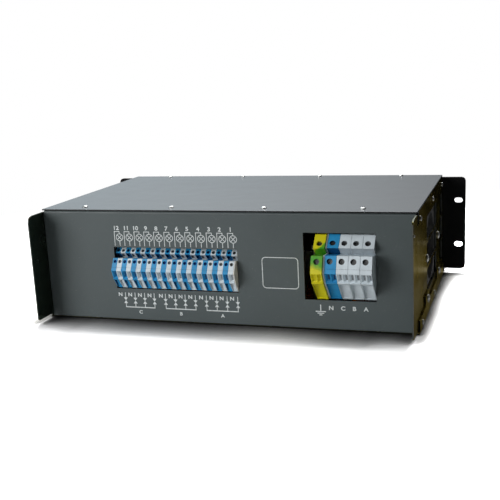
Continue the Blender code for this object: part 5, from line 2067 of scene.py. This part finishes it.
@dataclass
class Sockets:
    """Control signal sockets: pins in a nickel shell for the input, a black insert for the output."""

    flange: float = 0.0020
    corner: float = 0.0020
    barrel: float = 0.0117
    rim: float = 0.0004
    input_bore: Pair = (0.0085, 0.0150)
    output_bore: Pair = (0.0095, 0.0120)
    floor: Line = ((0.0, 0.0002), (0.0012, 0.0002), (0.0015, 0.0006))
    insert: float = 0.0074
    insert_back: float = 0.0013
    hole_deep: float = 0.0080
    hole_above: float = 0.001
    sleeve: Line = ((-0.0070, -0.0015), (0.00125, 0.0010))
    pin_circle: float = 0.0040
    pin: float = 0.0013
    pin_length: float = 0.0095
    screw_place: Pair = (0.0098, 0.0122)
    arrow_drop: float = 0.0055
    arrow_line: float = 0.0006

    def build(self) -> None:
        """Both sockets and the arrows under them."""
        for word in ("input", "output"):
            self.socket(word)
        self.arrows()

    def at_pins(self, profile: Points, depth: float, sides: int) -> list[Shell]:
        """A gilt shape, turned from a profile along +Y that starts at a depth, at each contact."""
        places = self.contacts()
        return [turned_shape(profile, (x, depth, z), Axis.Y, sides).look(2) for x, z in places]

    def contacts(self) -> Points:
        """Middles of the three contacts about the socket's axis, in X and Z."""
        return arc((0.0, 0.0), self.pin_circle, 90.0, 330.0, 2)

    def socket(self, word: str) -> None:
        """Flange with a round hole, a cup behind it, contacts and two screws.

        Args:
            word: Which socket.
        """
        node = f"signal_{word}_socket"
        low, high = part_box(node)
        half = ((high.x - low.x) / 2, (high.z - low.z) / 2)
        bore, deep = self.input_bore if word == "input" else self.output_bore
        outer = rounded((-half[0], -half[1]), half, self.corner)
        turn = np.arctan2(outer[:, 1], outer[:, 0])
        hole = self.barrel * np.stack([np.cos(turn), np.sin(turn)], axis=1)
        back = low.y - high.y
        cup = [(back, 0.0), (back, self.barrel), (self.rim, self.barrel), (self.rim, bore)]
        cup += [(-deep, bore), (-deep, 0.0)]
        shells = [
            band(outer, hole, -self.flange, 0.0, Axis.Y), turned_shape(cup, (0.0, 0.0, 0.0), Axis.Y, 48),
        ]
        shells += self.pins(bore, deep) if word == "input" else self.sleeves(deep)
        for sign in (-1.0, 1.0):
            place = (sign * self.screw_place[0], 0.0, sign * self.screw_place[1])
            shells.append(PanHead(0.0017, 0.0009, 0.0006).shell(place, Axis.Y, 1.0, 30.0 * sign))
        x, _, z = middle_of(node)
        shell = joined(shells).moved((x, high.y, z))
        looks = [NICKEL, INSERT_BLACK, GOLD_PIN]
        add_piece(f"{word}_socket", shell, looks, bevel=0.0002, nodes=(node,))

    def pins(self, bore: float, deep: float) -> list[Shell]:
        """Three pins with narrowed tips on a black floor.

        Args:
            bore: Radius of the cup.
            deep: Depth of the cup.

        Returns:
            The solids about the middle of the flange's face.
        """
        line = [(0.0, 0.0), *((up, bore - inward) for up, inward in self.floor), (self.floor[-1][0], 0.0)]
        floor = turned_shape(line, (0.0, -deep, 0.0), Axis.Y, 40).look(1)
        long, radius = self.pin_length, self.pin
        tip = [(0.0, 0.0), (0.0, radius), (long - 0.0009, radius), (long - 0.0003, 0.6 * radius), (long, 0.0)]
        return [floor, *self.at_pins(tip, -deep, 20)]

    def sleeves(self, deep: float) -> list[Shell]:
        """A black insert with three holes and a gilt sleeve in each.

        Args:
            deep: Depth of the cup.

        Returns:
            The solids about the middle of the flange's face.
        """
        face = -self.insert_back
        disc = prism(circle((0.0, 0.0), self.insert, 48), -deep, face, Axis.Y)
        holes = [
            prism(circle((x, z), self.pin, 24), face - self.hole_deep, self.hole_above, Axis.Y)
            for x, z in self.contacts()
        ]
        (low, high), (outer, inner) = self.sleeve
        line = [(low, outer), (high, outer), (high, inner), (low, inner), (low, outer)]
        return [cut(disc, holes).look(1), *self.at_pins(line, face, 20)]

    def arrows(self) -> None:
        """An arrow onto a bar for the input and an arrow away from a bar for the output, from +Y."""
        face = PLATE_FACE
        shells = []
        for word, bar_x in (("input", 0.0030), ("output", -0.0030)):
            node = f"signal_{word}_socket"
            place = (middle_of(node)[0], face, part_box(node)[0].z - self.arrow_drop)
            for start, end in (((-0.0022, 0.0), (0.0004, 0.0)), ((bar_x, -0.0016), (bar_x, 0.0016))):
                shells.append(plate_ink(stroke(start, end, self.arrow_line), place))
            shells.append(plate_ink([(0.0004, -0.0012), (0.0024, 0.0), (0.0004, 0.0012)], place))
        add_piece("socket_printing", joined(shells), [WHITE_INK])


@dataclass
class Fans:
    """Axial fans behind the air openings, each a square frame and an impeller with twisted blades.

    The hub's face is a line of steps in from its end and in from its radius.
    """

    hub: float = 0.0160
    length: float = 0.0170
    hub_face: Line = (
        (0.0012, 0.0160), (0.0012, 0.0050), (0.0, 0.0042), (0.0, 0.0022), (0.0006, 0.0008), (0.0020, 0.0),
    )
    tip: float = 0.0369
    blades: int = 7
    pitch: Pair = (46.0, 27.0)
    chord: Pair = (0.0180, 0.0235)
    sweep: float = 22.0
    camber: float = 0.0016
    thick: float = 0.0012
    thinner: float = 0.75
    root: float = 0.0008

    def build(self) -> None:
        """Frames in black, and an impeller on each fan's body."""
        impeller = joined([self.hub_shape(), self.blade_shapes()])
        for side, turn in (("left", 0.0), ("right", math.pi)):
            dress_node(f"fan_frame_{side}", FAN_BLACK, 0.0005)
            node = f"fan_impeller_{side}"
            place = (middle_of(node)[0], *middle_of(f"fan_frame_{side}")[1:])
            shell = impeller.turned(Matrix.Rotation(turn, 4, "Z")).moved(place)
            add_piece(f"impeller_{side}", shell, [IMPELLER_GREY], node, nodes=(node,), sharp=40.0)

    def hub_shape(self) -> Shell:
        """The hub with its dished face towards -X.

        Returns:
            The hub about the origin.
        """
        half = self.length / 2
        line = [(-half + along, self.hub - inward) for along, inward in self.hub_face]
        return turned_shape([*line, (half, self.hub), (half, 0.0)], (0.0, 0.0, 0.0), Axis.X, 48)

    def blade_shapes(self) -> Shell:
        """Blades as rings of points round their section, from root to tip.

        At share u of the span and v of the chord c, the point lies at the angle
        sweep u^2 + v c cos(pitch) / r and at v c sin(pitch) + camber (1 - 4 v^2) u along the axis, plus or
        minus half the thickness, which falls off with v^4.

        Returns:
            All blades about the origin.
        """
        rows, half = 10, 9
        span = np.linspace(0.0, 1.0, rows)[None, :, None]
        along = np.concatenate([np.linspace(-0.5, 0.5, half), np.linspace(0.5, -0.5, half)])[None, None, :]
        side = np.concatenate([np.ones(half), -np.ones(half)])[None, None, :]
        first = 2 * np.pi * np.arange(self.blades)[:, None, None] / self.blades
        root = self.hub - self.root
        radius = root + span * (self.tip - root)
        pitch = np.radians(self.pitch[0] + span * (self.pitch[1] - self.pitch[0]))
        chord = self.chord[0] + span * (self.chord[1] - self.chord[0])
        angle = first + np.radians(self.sweep) * span**2 + along * chord * np.cos(pitch) / radius
        thick = self.thick * (1.0 - self.thinner * (2.0 * along) ** 4)
        axial = along * chord * np.sin(pitch) + self.camber * (1.0 - 4.0 * along**2) * span + side * thick / 2
        axial = np.broadcast_to(axial, angle.shape)
        points = np.stack([axial, radius * np.cos(angle), radius * np.sin(angle)], axis=-1)
        return joined([lofted(blade) for blade in points])


@dataclass
class Studio:
    """Floor, lights and camera.

    The floor's limits are distances from the unit's middle: contact shadows reach less far beyond
    contact_x, the floor is painted brighter beyond beside_x, which lifts the lamps' shadow there, light
    that bounces sees bounce_tints over bounce_reach, and the floor fades to white over fade.
    """

    lens: float = 61.58
    from_panel: Triple = (0.31655, -0.84414, 0.28615)
    heading: float = 18.39
    dip: float = 12.71
    roll: float = -2.888
    floor_radius: float = 6.0
    floor_thick: float = 0.002
    floor_gap: float = 0.0002
    floor_tint: float = 2.2
    contact: Pair = (0.066, 0.020)
    contact_x: Pair = (0.165, 0.230)
    contact_power: float = 4.5
    beside_x: Pair = (0.207, 0.222)
    beside_tint: float = 9.0
    bounce_reach: Pair = (0.26, 0.50)
    bounce_tints: Pair = (0.62, 0.08)
    fade: Pair = (0.30, 0.85)
    ambient: float = 0.26
    behind: Pair = (0.0, 0.8)
    behind_share: Pair = (0.05, 1.0)
    sky: tuple[tuple[float, Colour], ...] = (
        (-0.55, (1.05, 1.22, 1.32)), (-0.05, (0.375, 0.385, 0.40)), (0.10, (0.10, 0.10, 0.10)),
    )
    lamps: tuple[tuple[str, Triple, float, float], ...] = (
        ("back", (-0.25, 1.0, 1.7), 1.1, 46.0), ("key", (-1.25, -1.45, 0.65), 1.2, 27.0),
    )
    aim: Triple = (0.0, 0.0, 0.06)

    def build(self) -> None:
        """Makes the camera, the floor, the world and the lights."""
        self.camera()
        self.floor()
        self.world()
        for name, place, size, power in self.lamps:
            self.lamp(name, place, size, power)

    def camera(self) -> None:
        """A camera at the photograph's place: heading, then dip, then roll."""
        data = bpy.data.cameras.new("camera")
        data.lens = self.lens
        data.sensor_width = 36.0
        data.clip_end = 20.0
        obj = linked("camera", data)
        turn = Matrix.Rotation(math.radians(self.heading), 4, "Z")
        tip = Matrix.Rotation(math.radians(90.0 - self.dip), 4, "X")
        spin = Matrix.Rotation(math.radians(self.roll), 4, "Z")
        x, y, z = self.from_panel
        obj.matrix_world = Matrix.Translation((x, PANEL_FACE + y, z)) @ turn @ tip @ spin
        bpy.context.scene.camera = obj

    def floor(self) -> None:
        """A round pale floor that holds the shadow and fades to the white of the background."""
        radius, down = self.floor_radius, -self.floor_thick
        profile = [(0.0, 0.0), (0.0, radius), (down, radius), (down, 0.0)]
        shell = turned_shape(profile, (0.0, 0.0, -self.floor_gap), Axis.Z, 96)
        obj = linked("floor", solid_mesh("floor", shell))
        obj.data.materials.append(self.floor_material())

    def floor_material(self) -> Material:
        """Diffuse paint with a deeper contact shadow to the camera, and darker for light that bounces.

        To the camera it is the tint times the open share of the sky close by, raised to a power.

        Returns:
            The material, plain white to the camera far from the unit.
        """
        material = bpy.data.materials.new("floor_pale")
        material.use_nodes = True
        graph = Graph(material.node_tree)
        graph.tree.nodes.clear()
        place = graph.place()
        x = graph.part(place, "X")
        distance = graph.add("VectorMath", {0: place}, operation="LENGTH").outputs["Value"]
        reach = graph.spread(graph.maths("ABSOLUTE", x), *self.contact_x, self.contact)
        clear = graph.add("AmbientOcclusion", {"Distance": reach}).outputs["AO"]
        # Painted light: the floor is brighter to the camera beyond the unit's right side, which paints out the
        # lamps' shadow there.
        tint = graph.spread(x, *self.beside_x, (self.floor_tint, self.beside_tint))
        seen = graph.maths("MULTIPLY", graph.maths("POWER", clear, self.contact_power), tint)
        bounced = graph.spread(distance, *self.bounce_reach, self.bounce_tints)
        camera = graph.ray("Camera")
        paint = graph.add("BsdfDiffuse", {"Color": graph.mix(camera, bounced, seen)}).outputs[0]
        white = graph.add("Emission", {}).outputs[0]
        far = graph.maths("MULTIPLY", graph.spread(distance, *self.fade), camera)
        blend = graph.add("MixShader", {0: far, 1: paint, 2: white}).outputs[0]
        graph.add("OutputMaterial", {"Surface": blend})
        return material

    def world(self) -> None:
        """White to the camera and through glass, a bright sky behind the unit in gloss, dim otherwise."""
        world = bpy.data.worlds.new("studio")
        bpy.context.scene.world = world
        world.use_nodes = True
        graph = Graph(world.node_tree)
        direction = graph.place("Generated")
        ramp = graph.add("ValToRGB", {0: graph.spread(graph.part(direction, "X"), -1.0, 1.0)})
        stops = ramp.color_ramp.elements
        stops.new(0.5)
        for stop, (x, colour) in zip(stops, self.sky):
            stop.position = (x + 1.0) / 2
            stop.color = (*colour, 1.0)
        behind = graph.spread(graph.part(direction, "Y"), *self.behind, self.behind_share)
        feeds = {0: ramp.outputs["Color"], "Scale": behind}
        sky = graph.add("VectorMath", feeds, operation="SCALE").outputs[0]
        lit = graph.mix(graph.ray("Glossy"), (self.ambient,) * 3, sky)
        white = graph.maths("MAXIMUM", graph.ray("Camera"), graph.ray("Transmission"))
        shown = graph.mix(white, lit, (1.0, 1.0, 1.0))
        graph.feed(graph.tree.nodes["Background"].inputs["Color"], shown)

    def lamp(self, name: str, place: Triple, size: float, power: float) -> None:
        """A square soft light that looks at the unit's middle.

        Args:
            name: Its name.
            place: Where it stands.
            size: Its side.
            power: Its power in watts.
        """
        data = bpy.data.lights.new(name, "AREA")
        data.size = size
        data.energy = power
        look = (Vector(self.aim) - Vector(place)).to_track_quat("-Z", "Y")
        linked(name, data).matrix_world = Matrix.Translation(place) @ look.to_matrix().to_4x4()


def main() -> None:
    """Builds the studio and each assembly in turn, and reports them."""
    bpy.context.scene.view_settings.view_transform = "Standard"
    for kind in (
        Studio, Case, Printing, OutputTerminals, MainsTerminals, Inside, Breakers, ReadOut, Sockets, Fans,
    ):
        LOG.info("assembly %s", kind.__name__)
        kind().build()


logging.basicConfig(level=logging.INFO, format="%(message)s")
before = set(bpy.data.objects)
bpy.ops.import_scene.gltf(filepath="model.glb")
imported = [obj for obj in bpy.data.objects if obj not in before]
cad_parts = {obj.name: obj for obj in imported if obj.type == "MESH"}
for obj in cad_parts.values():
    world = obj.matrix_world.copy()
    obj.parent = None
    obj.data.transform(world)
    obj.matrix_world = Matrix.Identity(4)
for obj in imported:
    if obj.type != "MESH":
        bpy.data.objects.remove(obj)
PANEL_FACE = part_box("rear_panel")[0].y
PLATE_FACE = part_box("front_panel")[1].y

if __name__ == "__main__":
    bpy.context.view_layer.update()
    main()
